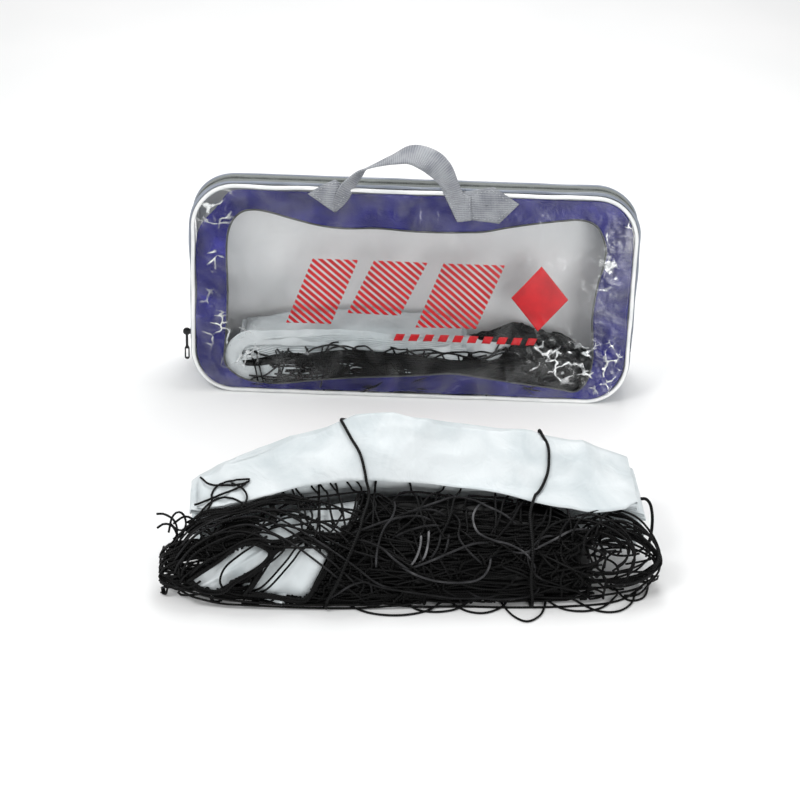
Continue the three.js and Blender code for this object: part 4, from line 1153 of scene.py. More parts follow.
# %% [markdown]
# ## The loose net's header tape
# The net's top edge is sewn into a white coated tape 70 mm wide and about 9 m long. It is laid to and fro in
# 22 layers, each about 400 mm long, and the stack sags over the heap. The sheet is one long strip of
# points: the runs, and a round fold at each end. A stiff coated tape does not drape, it buckles into
# flat facets between sharp creases, so crease lines are thrown over the stack and the strip is lifted
# along each of them, most in the top layer, less and less further down.

# %% Throw creases over the stack
crease_rng = np.random.default_rng(14)
tape_left = -190
creases = [(crease_rng.uniform(-190, 206), crease_rng.uniform(5, 70), crease_rng.normal(0, 0.8),
            crease_rng.uniform(-3.2, 4.2),
            crease_rng.uniform(7, 22)) for _ in range(54)]


def crumple(x, w):
    """How far the top layer is pushed up by its creases, in mm."""
    lift = 0
    for cx, cw, lean, height, reach in creases:
        across = np.abs((x - cx) * math.cos(lean) + (w - cw) * math.sin(lean))
        along = (w - cw) * math.cos(lean) - (x - cx) * math.sin(lean)
        lift = lift + height * np.exp(-across / reach) * np.exp(-(along / 42) ** 4)
    return lift


# %% Fold the tape
# The top layers have slipped. The next lines say where their back and front edges lie, in mm from the
# stack's back.
back_edge = np.array([(-195, 27), (-129, 21), (-65, 8), (-48, 2), (-12, 4), (10, 13), (42, 15), (117, 10),
                      (165, 1), (204, -3)])
front_edge = np.array([(-197, 54), (-184, 66), (-129, 66), (-54, 66), (-12, 70), (10, 71), (69, 77),
                       (109, 85), (128, 87), (160, 87), (190, 77), (206, 57)])
rows = strip_of_runs(tape_layers, tape_pitch, tape_left, tape_reach, 5, 6)
share = np.linspace(0, 1, 21)
u, depth, layer = (rows[:, k, None] for k in range(3))
slipped = np.exp(-depth / 3.2)
back_w = np.interp(u, *back_edge.T) * np.exp(-depth / 9)
front_w = (66.5 + (np.interp(u, *front_edge.T) - 66.5) * slipped - 1.2 * (layer > 1.6)
           + 0.8 * waves(41, (120,), u, layer * 9))
w = back_w + (front_w - back_w) * share


def top_lift(u, w):
    """How far the top layer lies above the flat stack, in mm."""
    hump = 5.0 * np.exp(-((u + 22) / 40) ** 4) * np.exp(-(w / 18) ** 2)
    facets = (3.4 * (1 - np.abs(waves(44, (85, 52), u, w))) ** 3
              + 4.5 * np.exp(-((u + 178) / 34) ** 4) * (1 - np.abs(waves(45, (44, 36), u, w))) ** 2)
    return ((crumple(u, w) + hump + facets + 1.4 * waves(42, (90, 50), u, w))
            * np.clip(1.6 - w / 70, 0.45, 1) + 0.6)


def over_edge(x, w, above):
    """A point so far above the top layer, also past the stack's front edge, where it goes down the roll."""
    past = np.maximum(w - 70, 0)
    off = np.maximum(w - np.maximum(np.interp(x, *front_edge.T), 67), 0)
    lift = sum(top_lift(x + step, w) for step in (-7, 0, 7)) / 3
    point = stack_point(x, -lift * np.clip(1 - off / 9, 0, 1) - above, np.minimum(w, 70))
    return point + past[..., None] * np.array([0, -0.985, -0.17]) - off[..., None] * np.array([0, 0, 0.22])


middle = np.exp(-((u + 22) / 92) ** 6)
lip = np.exp(-((layer - 1) / 0.7) ** 2) * middle * np.clip((share - 0.84) / 0.16, 0, 1) ** 1.3
lift = np.exp(-depth / 13) * top_lift(u + 0 * w, w) + 0.25 * waves(43, (60, 34), u + 0 * w, w, depth + 0 * w)
over = np.maximum(w - 70, 0)
tape_points = (stack_point(u, depth - lift + 11 * lip, np.minimum(w, 70) + 1.5 * lip)
               + over[..., None] * np.array([0, -0.985, -0.17]))
tape_points = to_room(tape_points)
run = run_along(rows[:, :2])
tape_uv = rows_of(run[:, None], share * tape_width)
header = make_piece("header_tape_folded", tape_points.reshape(-1, 3), grid_faces(len(rows), len(share)),
                    "net", tape_uv)
thicken(header, tape_wall, 0)
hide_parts("header_tape")
print("header tape:", round(run[-1]), "mm long,", len(header.data.vertices), "points")

# %% White coated tape
coated, shader, add = new_material("white PVC-coated polyester tape")
strip = add("TexCoord", "UV")
place = add("TexCoord", "Object")
soil = add("TexNoise", "Fac", Vector=place, Scale=14.0, Detail=4.0, Distortion=1.0)
fill(shader, Base_Color=add("ValToRGB", "Color", Fac=soil, stops=[(0.32, "#c3cccf"), (0.6, "#dbe1e3")]))
threads = add("TexWave", "Fac", Vector=strip, Scale=0.45, Distortion=0.6, Detail=1.0, Detail_Scale=2.0)
wrinkles = add("TexNoise", "Fac", Vector=place, Scale=34.0, Detail=3.0, Distortion=2.2)
relief = add("Math", 0, _0=threads, _2=wrinkles, operation="MULTIPLY_ADD", _1=0.04)
fill(shader, Normal=add("Bump", "Normal", Height=relief, Strength=0.6, Distance=0.0022), Roughness=0.45,
     Sheen_Weight=0.1)
dress(header, coated)

# %% [markdown]
# ## The netting's surface
# The netting under and in front of the tape is a heap of cords with no sheet of its own. The CAD model has
# its outer form: a roll from the floor up to the tape's lower edge, and a bed that goes on under the tape
# to the rear. A point of the roll is named by how far along it is, and by how far it has turned from the
# floor, at 0, to the crest, at a right angle. The cords below are all laid on this form.

# %% The roll and the rear of the heap
mesh_reach, roll_front = 224, -378


def rear_foot(x):
    """How far back the heap reaches on the floor."""
    return -152 - 40 * (x / heap_span) ** 2


def roll_point(x, turn, grow):
    """A point of the roll, so many mm proud of the netting's core."""
    x, turn, grow = np.broadcast_arrays(np.asarray(x, float), turn, grow)
    left = np.clip(mesh_reach - np.abs(x), 0, 34)
    full = np.sqrt(1 - (1 - left / 34) ** 2)
    edge = stack_point(x, 0, 75)
    turn = np.clip(turn, 0.001, math.pi / 2)
    deep = edge[..., 1] - roll_front - 10 * (x / heap_span) ** 4 + grow
    high = edge[..., 2] - 4 + grow
    y = edge[..., 1] - deep * (0.65 + 0.35 * full) * np.cos(turn) ** 0.75
    return np.stack([x, y, high * (0.35 + 0.65 * full) * np.sin(turn) ** 0.8], -1)


def rear_point(x, level, grow):
    """A point of the heap's rear, from the floor at 0 to the tape's back edge at 1."""
    x, level, grow = np.broadcast_arrays(np.asarray(x, float), level, grow)
    shoulder = stack_point(x, (tape_layers - 1) * tape_pitch + 6, -6)
    foot = rear_foot(x)
    y_at = np.stack([foot, foot + 3, shoulder[..., 1] * 0.4 + foot * 0.6, shoulder[..., 1]])
    z_at = np.stack([0 * x, shoulder[..., 2] * 0.35, shoulder[..., 2] * 0.82, shoulder[..., 2]])
    k = np.clip(level, 0, 0.9999) * 3
    i, f = k.astype(int), k % 1
    y, z = (np.take_along_axis(table, i[None], 0)[0] * (1 - f)
            + np.take_along_axis(table, i[None] + 1, 0)[0] * f
            for table in (y_at, z_at))
    return np.stack([x, y + grow, z + 0.3 * grow], -1)


# %% [markdown]
# ## Where white shows between the cords
# The net's short sides are bound with the same white tape, and at the left it shows through the cords in
# three places. Each place is an outline on the roll. Cords that only fill the heap dive under the white
# there, so that just the few listed cords cross it.

# %% Outline the white places
gaps = [
    np.array([(-195, 0.42), (-184, 0.59), (-168, 0.8), (-160, 0.93), (-148, 1.05), (-136, 1.03), (-124, 0.89),
              (-127, 0.76), (-136, 0.63), (-147, 0.52), (-157, 0.41), (-166, 0.25), (-176, 0.22),
              (-186, 0.29)]),
    np.array([(-146, 0.2), (-139, 0.36), (-129, 0.66), (-121, 0.86), (-111, 0.96), (-95, 1.04), (-80, 0.93),
              (-73, 0.84), (-73, 0.7), (-79, 0.5), (-87, 0.28), (-95, 0.1), (-112, 0.13), (-130, 0.18)]),
    np.array([(-139, 1.2), (-134, 1.3), (-122, 1.38), (-118, 1.75), (-45, 1.75), (-46, 1.52), (-49, 1.38),
              (-56, 1.18), (-66, 1.04), (-84, 1.1), (-97, 1.13), (-110, 1.06), (-121, 1.04), (-131, 1.08)]),
]


def depth_inside(outline, x, turn):
    """How far inside the outline a point is, in mm, or 0."""
    p = np.stack([np.asarray(x, float), np.asarray(turn, float) * 55], -1)[..., None, :]
    a = outline * [1, 55]
    b = np.roll(a, -1, 0)
    t = np.clip(((p - a) * (b - a)).sum(-1) / ((b - a) ** 2).sum(-1), 0, 1)
    near = np.linalg.norm(p - a - t[..., None] * (b - a), axis=-1).min(-1)
    cross = (a[:, 1] > p[..., 1]) != (b[:, 1] > p[..., 1])
    side = p[..., 0] < (b[:, 0] - a[:, 0]) * (p[..., 1] - a[:, 1]) / (b[:, 1] - a[:, 1] + 1e-9) + a[:, 0]
    return near * ((cross & side).sum(-1) % 2)


def filling_point(x, turn, grow):
    """A point of a cord that fills the heap: it dives where white shows."""
    x, turn, grow = np.broadcast_arrays(np.asarray(x, float), turn, grow)
    point = roll_point(x, turn, grow)
    for outline in gaps:
        wider = outline.mean(0) + 1.07 * (outline - outline.mean(0))
        m = np.clip(depth_inside(wider, x, turn) / 2.5, 0, 1)[..., None]
        low = roll_point(x, turn, np.minimum(grow, -12))
        point = point * (1 - m) + low * m
    return point


# %% [markdown]
# ## The core
# Deep in the heap the cords are so close that they read as one dark, lumpy mass. So the core is one closed
# form, a little smaller than the CAD's, covered in ridges that run lengthwise as buried cords do. It is
# hollowed where the end band lies on the floor.

# %% Make the core
core_left, core_right = -182, 160
core_x = np.linspace(core_left, core_right, 140)
xg, tg = np.meshgrid(core_x, np.linspace(0, math.pi / 2, 34), indexing="ij")
strands = (2.0 * np.abs(waves(51, (15, 9), 0.16 * xg + 6 * waves(52, (60,), xg, tg * 40), tg * 70))
           + 1.5 * waves(53, (46, 28), xg, tg * 60))
end_round = 9 * np.clip((np.abs(xg + 11) - 145) / 26, 0, 1) ** 2 + 14 * np.clip((xg - 128) / 32, 0, 1) ** 2
front = roll_point(xg, tg, -8.5 + strands - end_round)
sunk = sum(np.clip(depth_inside(outline, xg, tg) / 8, 0, 1) for outline in gaps)[..., None]
front = front * (1 - sunk) + roll_point(xg, tg, -14) * sunk
keep = np.clip((np.minimum(core_right - core_x, core_x - core_left) - 4) / 16, 0, 1)[:, None]
crest = front[:, -1:]
heel = stack_point(core_x, (tape_layers - 1) * tape_pitch + 7, 75)[:, None]
rear = rear_point(*np.meshgrid(core_x, np.linspace(1, 0, 16), indexing="ij"), -4 + 0 * xg[:, :16])
rear[..., 1] += 1.2 * waves(54, (22, 12), rear[..., 0] * 0.3, rear[..., 2])
under = np.concatenate([heel, rear], 1)
column = (np.linspace(0.9, 0, under.shape[1])[None, :, None] * np.array([0, 0, 1]) * crest[..., 2:]
          + crest * [1, 1, 0])
ring = np.concatenate([front, column * (1 - keep[..., None]) + under * keep[..., None]], 1)
ring[..., 2] = np.maximum(ring[..., 2], 0.3)
points = to_room(ring.reshape(-1, 3))
band_at, band_turn = np.array([-116, -334, 9.7]), math.radians(62)
bay_at, bay_turn = to_room([band_at])[0], band_turn + heap_turn
off = points[:, :2] - bay_at[:2]
along = off @ [math.cos(bay_turn), math.sin(bay_turn)]
beside = off @ [-math.sin(bay_turn), math.cos(bay_turn)]
inside = (along < 40) & (along > -46) & (np.abs(beside) < 27)
points[inside, 2] = np.minimum(points[inside, 2], 1.6)
faces = [list(f) for f in grid_faces(ring.shape[0], ring.shape[1], wrap_columns=True)]
faces += [list(range(ring.shape[1]))[::-1], list(range(len(points) - ring.shape[1], len(points)))]
core = make_piece("netting_heart", points, faces, "net")
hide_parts("netting_core")
print("core:", len(points), "points")

# %% [markdown]
# ## The end band
# One end band is folded up in four layers and lies at the front left, and a length of it comes up again
# between the cords beside it and behind it.

# %% Fold the end band
band_rows = strip_of_runs(4, tape_pitch, -34, 36, 4, 4)
u, depth, layer = (band_rows[:, k, None] for k in range(3))
w = np.linspace(0, 44, 12)[None]
lift = (np.exp(-depth / 6) * (1.3 * waves(61, (38, 22), u + 0 * w, w)
                              + 1.4 * np.exp(-np.abs(u - 6 + 0.3 * w) / 6)) + 7 * np.clip(u / 36, 0, 1) ** 2)
along = np.array([math.cos(band_turn), math.sin(band_turn), 0])
beside = np.array([-math.sin(band_turn), math.cos(band_turn), 0])
points = (band_at + u[..., None] * along + (w - 22)[..., None] * beside
          + (lift - depth)[..., None] * np.array([0, 0, 1]))
run = run_along(band_rows[:, :2])
band_uv = rows_of(run[:, None], w)
band = make_piece("end_band_folded", to_room(points.reshape(-1, 3)),
                  grid_faces(len(band_rows), w.shape[1])[:, ::-1], "net", band_uv)
thicken(band, tape_wall, 0)
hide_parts("side_band")
dress(band, coated)

# %% Let the band show between the cords
def band_patch(name, corners, grow, seed):
    """A stretch of the band on the roll, between four corners, each given by place along and turn."""
    a, b, x, turn = between_corners(corners, 30, 18)
    fold = 1.4 * waves(seed, (40, 24), x, turn * 60) + 2.4 * np.exp(-np.abs(b - 0.45 - 0.2 * a) / 0.06)
    points = to_room(roll_point(x, turn, grow + fold).reshape(-1, 3))
    uv = rows_of(a * 80, b * 44)
    piece = make_piece(name, points, grid_faces(30, 18)[:, ::-1], "net", uv)
    thicken(piece, tape_wall, 0)
    dress(piece, coated)
    return piece


band_patch("end_band_left", [(-200, 0.30), (-146, 1.14), (-116, 0.92), (-176, 0.14)], -6, 62)
band_patch("end_band_front", [(-152, 0.2), (-120, 0.98), (-70, 0.98), (-94, 0.05)], -7, 64)
band_patch("end_band_rear", [(-145, 0.98), (-145, 1.52), (-42, 1.57), (-42, 0.96)], -8, 63)

# %% [markdown]
# ## The cords of the net
# A volleyball net is knotted from black twine about 2 mm thick in squares of 100 mm. Gathered up to be
# tied, its long cords lie side by side along the heap and turn back in loops at both ends, short lengths
# cross between them, and slack ones hang out in loops. Each is a smooth curve through a few points, made
# into a six-sided tube. The heap is so dark that only the cords on top of it are told apart, so these are
# drawn one by one, as places along the roll and turns of it, and the rest only fill the heap.

# %% Draw the cords that lie on top
twine = 1.02
on_top = [
    [(-210, 1.04), (-188, 1.44), (-163, 1.55), (-137, 1.53), (-119, 1.39), (-97, 1.14), (-77, .91),
     (-53, .62), (-33, .36), (-15, .23)],
    [(-212, .8), (-190, 1.33), (-165, 1.48), (-140, 1.46), (-118, 1.28), (-99, 1.05), (-80, .8), (-60, .5),
     (-44, .22)],
    [(-206, 1.22), (-186, 1.5), (-160, 1.57), (-134, 1.55), (-114, 1.45), (-92, 1.22), (-74, 1.0), (-52, .82),
     (-26, .7)],
    [(-209, .5), (-204, .8), (-190, 1.12), (-168, 1.32), (-146, 1.36), (-126, 1.2), (-106, .98), (-88, .74),
     (-72, .52), (-60, .34)],
    [(-205, .62), (-196, 1.0), (-176, 1.26), (-156, 1.28), (-138, 1.18), (-120, 1.0)],
    [(-202, .4), (-200, .66), (-190, .95), (-172, 1.14), (-152, 1.22), (-136, 1.14)],
    [(-214, 1.3), (-194, 1.57), (-169, 1.57), (-148, 1.57), (-126, 1.57), (-107, 1.57), (-84, 1.54)],
    [(-212, 1.2), (-190, 1.54), (-168, 1.5), (-145, 1.53), (-122, 1.5), (-100, 1.42), (-80, 1.2), (-62, .96)],
    [(-208, .24), (-200, .18), (-187, .11), (-167, .05), (-143, .04), (-102, .02), (-63, .01), (-30, .02),
     (10, .06)],
    [(-214, .5), (-205, .3), (-190, .2), (-168, .12), (-140, .08), (-104, .05), (-66, .05), (-20, .03)],
    [(-198, .44), (-184, .74), (-166, .92), (-149, 1.08), (-134, 1.1), (-118, 1.0)],
    [(-199, .38), (-190, .26), (-180, .2), (-166, .22), (-154, .4), (-141, .54), (-130, .7), (-124, .88)],
    [(-121, 1.56), (-82, 1.52), (-55, 1.35), (-36, 1.2)], [(-126, 1.5), (-88, 1.44), (-59, 1.4), (-30, 1.3)],
    [(-120, 1.42), (-90, 1.31), (-61, 1.12), (-44, .96)],
    [(-124, 1.36), (-97, 1.17), (-70, 1.08), (-48, 1.1)],
    [(-128, 1.3), (-108, 1.25), (-84, 1.26), (-58, 1.26), (-38, 1.36)],
    [(-116, 1.5), (-96, 1.34), (-76, 1.22), (-60, 1.0), (-50, .8)],
    [(-108, 1.57), (-97, 1.5), (-93, 1.31), (-84, 1.1), (-74, .9)],
    [(-82, 1.57), (-82, 1.43), (-84, 1.15), (-89, .98), (-100, .86)],
    [(-65, 1.57), (-59, 1.49), (-62, 1.36), (-70, 1.13), (-84, 1.0)],
    [(-96, 1.57), (-90, 1.46), (-88, 1.34), (-92, 1.2), (-100, 1.08)],
    [(-50, 1.57), (-34, 1.52), (-31, 1.42), (-40, 1.27), (-48, 1.1)],
    [(-74, 1.57), (-70, 1.44), (-72, 1.3), (-64, 1.14), (-52, 1.02)],
    [(-150, 1.0), (-144, 1.16), (-132, 1.2), (-118, 1.1), (-112, .94), (-118, .8), (-134, .6), (-150, .36)],
    [(-140, 1.1), (-128, .98), (-108, .92), (-88, .9), (-74, .9)],
    [(-128, 1.2), (-136, 1.04), (-150, .88), (-163, .68), (-168, .46), (-166, .3), (-160, .2)],
    [(-94, 1.06), (-103, .9), (-109, .76), (-117, .6), (-124, .46), (-133, .3), (-140, .2)],
    [(-88, 1.02), (-98, .88), (-104, .74), (-112, .58), (-119, .44), (-128, .27), (-134, .17)],
    [(-83, .04), (-68, .19), (-53, .34), (-39, .36), (-36, .1)],
    [(-33, .52), (-32, .81), (-26, 1.1), (-17, 1.28), (-14, 1.46), (-20, 1.55)],
    [(-56, 1.02), (-40, .94), (-27, .84), (-17, .69), (1, .48)],
    [(-60, 1.06), (-45, 1.11), (-37, 1.15), (-17, 1.24), (3, 1.28), (22, 1.24)],
    [(-13, 1.28), (2, 1.35), (23, 1.45), (39, 1.51), (56, 1.49), (67, 1.43), (82, 1.33), (96, 1.2)],
    [(70, 1.55), (60, 1.43), (54, 1.27), (57, 1.07), (70, .96), (83, .91), (97, .79), (105, .6), (107, .42)],
    [(8, 1.13), (6, .88), (1, .68), (-6, .54)], [(15, 1.18), (13, .92), (9, .71), (2, .6)],
    [(23, .64), (29, .85), (33, 1.1)], [(10, .6), (21, .85), (26, 1.12)],
    [(-15, .61), (3, .46), (21, .37), (42, .35), (57, .4), (65, .55), (69, .82)],
    [(80, .84), (97, .79), (122, .98), (138, 1.14), (158, 1.26)],
    [(-6, .54), (17, .68), (35, .8), (52, .9), (70, .95)], [(-20, 1.0), (-2, 1.09), (10, 1.14), (30, 1.18)],
    [(-24, 1.2), (-8, 1.3), (14, 1.36), (34, 1.32)], [(44, .2), (60, .12), (84, .1), (106, .16), (112, .3)],
    [(-60, .5), (-30, .3), (4, .2), (40, .12), (80, .14)],
    [(36, 1.4), (42, 1.2), (40, 1.0), (48, .8), (62, .6)],
    [(118, .3), (104, .5), (100, .74), (112, 1.0), (130, 1.1)],
]
# Each top cord's tone; the lighter ones are painted highlights, in place of glints on the cords on top.
top_tones_and_glints = [.5, .35, .3, .4, .25, .3, .25, .35, .1, .15, .2, .2, .1, .1, .15, .1, .1, .15, .15, .1, .1, .1,
             .2, .15, .15, .1, .1, .1, .1, .45, .55, .5, .5, .6, .75, 1, .95, .5, .45, .6, .7, .6, .45, .4,
             .4, .35, .4, .45]


def smooth_way(route, spacing):
    """A smooth way over the roll, where one radian of turn counts as 60 mm."""
    scale = np.array([1, 60, 1])[:np.shape(route)[1]]
    return (smooth_line(np.array(route, float) * scale, spacing) / scale).T


front_cords, tones_and_glints = [], []
for route, tone_and_glint in zip(on_top, top_tones_and_glints):
    x, turn = smooth_way(route, 3.5)
    from_end = np.minimum(np.arange(len(x)), np.arange(len(x))[::-1])
    line = roll_point(x, np.clip(turn, 0.01, 1.57), 2.4 - 9 * np.clip(1 - from_end / 5, 0, 1) ** 2)
    if route[0][1] > 1.5 and -110 < route[0][0] < -10:
        under_tape = stack_point(route[0][0] + np.array([-9, -3, 0]),
                                 np.array([3.4 - min(top_lift(route[0][0] - 9, 60), 0), 2.4, 5.0]),
                                 np.array([60, 70.5, 73.5]))
        line = smooth_line(np.vstack([under_tape, line[4::3]]), 3.0)
    front_cords.append(line)
    tones_and_glints.append(tone_and_glint)
# Some lie over the tape's front edge at the left: places along, and mm from the stack's back.
edge_line = np.array([(-199, 74), (-193, 71.5), (-185, 69), (-173, 70), (-163, 70.5), (-152, 71), (-143, 71),
                      (-134, 69.5), (-125, 68.5), (-116, 69.5), (-108, 72), (-99, 75.5), (-88, 80)])
# First and last place of each cord, how far down the edge it lies, and its tone, with any painted highlight.
edge_cords = [(0, 13, 0.3, .1), (0, 12, 1.6, .15), (1, 13, 3.0, .1), (0, 11, 4.4, .25), (2, 13, 5.6, .1),
              (0, 12, 7.0, .2), (3, 13, 2.3, .05), (0, 8, 8.2, .1)]
for k, (first, last, down, tone_and_glint) in enumerate(edge_cords):
    way = edge_line[first:last]
    wander = 0.9 * np.sin(np.arange(len(way)) * 1.7 + k * 2.2)
    on_edge = over_edge(way[:, 0] + 3 * np.sin(k), way[:, 1] + down + wander, 1.2 + 0.5 * np.sin(k * 2.6))
    front_cords.append(smooth_line(on_edge, 3.0))
    tones_and_glints.append(tone_and_glint)
print("cords drawn by hand:", len(on_top), "tones:", len(top_tones_and_glints))

# %% Frame the white places
net_rng = np.random.default_rng(5)
for outline in gaps:
    for grown in (0.95, 1.0, 1.06):
        corners = (outline.mean(0) + (outline - outline.mean(0))
                   * (grown + net_rng.normal(0, 0.015, (len(outline), 1))))
        x, turn = smooth_way(np.vstack([corners, corners[:1]]), 3.5)
        front_cords.append(roll_point(x, np.clip(turn, 0.05, 1.57), 1.2 + 0.4 * np.sin(x / 9)))
        tones_and_glints.append(0.05)

# %% Fill the heap with long cords
def lay_cord(route, spacing, surface=filling_point, low=0.03, high=1.565):
    """A smooth curve through places along, turns and growths, laid on the heap."""
    x, turn, grow = smooth_way(route, spacing)
    return surface(np.clip(x, -222, 222), np.clip(turn, low, high), grow)


def long_cord(first_turn, passes, proud):
    """One cord that goes along the front and back again, and loops round at both ends."""
    route, direction, turn = [], 1, first_turn
    for _ in range(passes):
        middle = 0.17 < turn < 1.42
        far_right = net_rng.uniform(120, 146) if middle else net_rng.uniform(178, 203)
        xs = np.linspace(-net_rng.uniform(184, 203), far_right, net_rng.integers(8, 12))[::direction]
        base = turn + net_rng.normal(0, 0.075, len(xs)) + net_rng.normal(0, 0.10) * xs / 200
        route += list(np.column_stack([xs, base, np.minimum(proud + net_rng.normal(0, 1.3, len(xs)), 1.5)]))
        step = net_rng.choice([-1, 1]) * net_rng.uniform(0.12, 0.4)
        following = turn + step if 0.06 < turn + step < 1.5 else turn - step
        tip = (net_rng.uniform(206, 221) * direction if direction < 0 or not middle
               else far_right + net_rng.uniform(8, 16))
        for share, back in ((0.2, 9), (0.5, 0), (0.8, 9)):
            route.append((tip - direction * back, turn + (following - turn) * share, net_rng.uniform(-9, 1)))
        direction, turn = -direction, following
    return lay_cord(route, 5.0)


for k in range(16):
    front_cords.append(long_cord(0.07 + 1.46 * (k + 0.5) / 16, 4, net_rng.uniform(-5.5, -1.5)))
    tones_and_glints.append(0.06)
for k in range(14):
    xs = np.linspace(-net_rng.uniform(60, 150), net_rng.uniform(110, 168), 8)
    front_cords.append(lay_cord(np.column_stack([xs,
        0.03 + 0.16 * net_rng.random() + net_rng.normal(0, 0.03, 8),
        net_rng.uniform(-7, -1) + net_rng.normal(0, 1, 8)]), 5.0))
    tones_and_glints.append(0.04)
print("cords by then:", len(front_cords))

# %% Tie short links between them
link_ends = []


def link(x, turn, dx, dturn, bulge, surface=filling_point, low=0.04, high=1.56, limits=(-219, 168)):
    share = np.array([0, 0.2, 0.5, 0.8, 1])
    xs = np.clip(x + dx * share + net_rng.normal(0, 3, 5), *limits)
    points = lay_cord(np.column_stack([xs, turn + dturn * share + net_rng.normal(0, 0.03, 5),
        [-3.5, -1, bulge, -1, -3.5]]), 4.0, surface, low, high)
    link_ends.extend([points[0], points[-1]])
    return points


for _ in range(150):
    dturn = net_rng.choice([-1, 1]) * net_rng.uniform(0.25, 0.8)
    front_cords.append(link(net_rng.uniform(-208, 160), net_rng.uniform(0.06, 1.5), net_rng.normal(0, 40),
                            dturn, net_rng.uniform(-2, 1.6)))
    tones_and_glints.append(0.32 * net_rng.random() ** 3)
for x in np.cumsum(net_rng.uniform(9, 34, 13)) - 118:
    lean = net_rng.normal(0, 11)
    way = x + lean * np.array([-0.2, 0, 0.6, 1.2, 2.0])
    start = stack_point(way[[0, 0, 1]] + [-2 * lean / 3, 0, 0],
                        np.array([3.4 - min(top_lift(x - lean, 60), 0), 2.4, 7]), np.array([60, 70.5, 75]))
    front_cords.append(smooth_line(np.vstack([start,
        roll_point(way[2:], np.array([1.5, 1.25, net_rng.uniform(0.8, 1.1)]), np.array([2.4, 1.8, -2]))]),
                                   3.5))
    tones_and_glints.append(0.15)
print("with links and strands:", len(front_cords))

# %% Let loops stand out at both ends
def loop_on_roll(x, turn, reach, rise, start, sweep, grow):
    angle = start + np.linspace(0, sweep, 10)
    xs = np.clip(x + reach * np.cos(angle), -222, 222)
    return smooth_line(roll_point(xs, np.clip(turn + rise * np.sin(angle), 0.02, 1.57),
                                  grow + net_rng.normal(0, 0.8, 10)), 3.5)


for k in range(9):
    reach = net_rng.uniform(32, 42)
    front_cords.append(loop_on_roll(net_rng.uniform(219, 222) - reach, net_rng.normal(0.74, 0.07), reach,
                                    net_rng.uniform(0.5, 0.72),
                                    net_rng.uniform(-2.4, -1.4), net_rng.uniform(3.4, 5.2), 2.2 - 3.2 * k))
    tones_and_glints.append(0.3 * net_rng.random() ** 2)
for k in range(22):
    reach = net_rng.uniform(16, 38)
    front_cords.append(loop_on_roll(net_rng.uniform(150, 196), net_rng.uniform(0.4, 1.25), reach,
                                    net_rng.uniform(0.25, 0.6),
                                    net_rng.uniform(-1.5, 1.5), net_rng.uniform(3.0, 5.4),
                                    1 - net_rng.uniform(0, 20)))
    tones_and_glints.append(0.3 * net_rng.random() ** 2)
for k in range(16):
    reach = net_rng.uniform(10, 22)
    front_cords.append(loop_on_roll(-222 + reach, net_rng.uniform(0.3, 1.35), reach,
                                    net_rng.uniform(0.12, 0.34),
                                    net_rng.uniform(1.2, 2.4), net_rng.uniform(3.2, 5.0),
                                    2 - net_rng.uniform(0, 16)))
    tones_and_glints.append(0.2 * net_rng.random() ** 2)
end_loops = [
    [(-224, 22, 0), (-217, 20, 2), (-209, 11, 4), (-207, 0, 0), (-213, -10, -4)],
    [(-214, 4, -3), (-211, 17, 0), (-206, 23, 1), (-201, 19, 3), (-199, 9, 2), (-203, 0, -2)],
    [(-224, 8, -2), (-218, 11, 0), (-211, 7, 2), (-207, -5, 2), (-209, -14, 0)],
    [(-210, 9, 3), (-200, 16, 4), (-192, 12, 3), (-196, 5, 0), (-206, 6, -2), (-212, 11, 0)],
]
for route in end_loops:
    x, rise, y = np.array(route, float).T
    front_cords.append(smooth_line(roll_point(np.full(len(x), -208.0), 1.57, 0) * [0, 1, 1]
                                   + np.stack([x, y, rise], -1), 3.0))
    tones_and_glints.append(0.05)
for x, turn, dx in ((160, 1.3, 34), (178, 1.4, 40), (190, 1.45, 30), (150, 1.2, 44)):
    angle = np.linspace(2.9, -0.6, 9)
    front_cords.append(smooth_line(roll_point(np.clip(x + dx * np.cos(angle), -222, 221),
        np.clip(turn - 0.5 + 0.65 * np.sin(angle), 0.05, 1.57), 3.0), 3.5))
    tones_and_glints.append(0.15)
print("front cords in all:", len(front_cords))

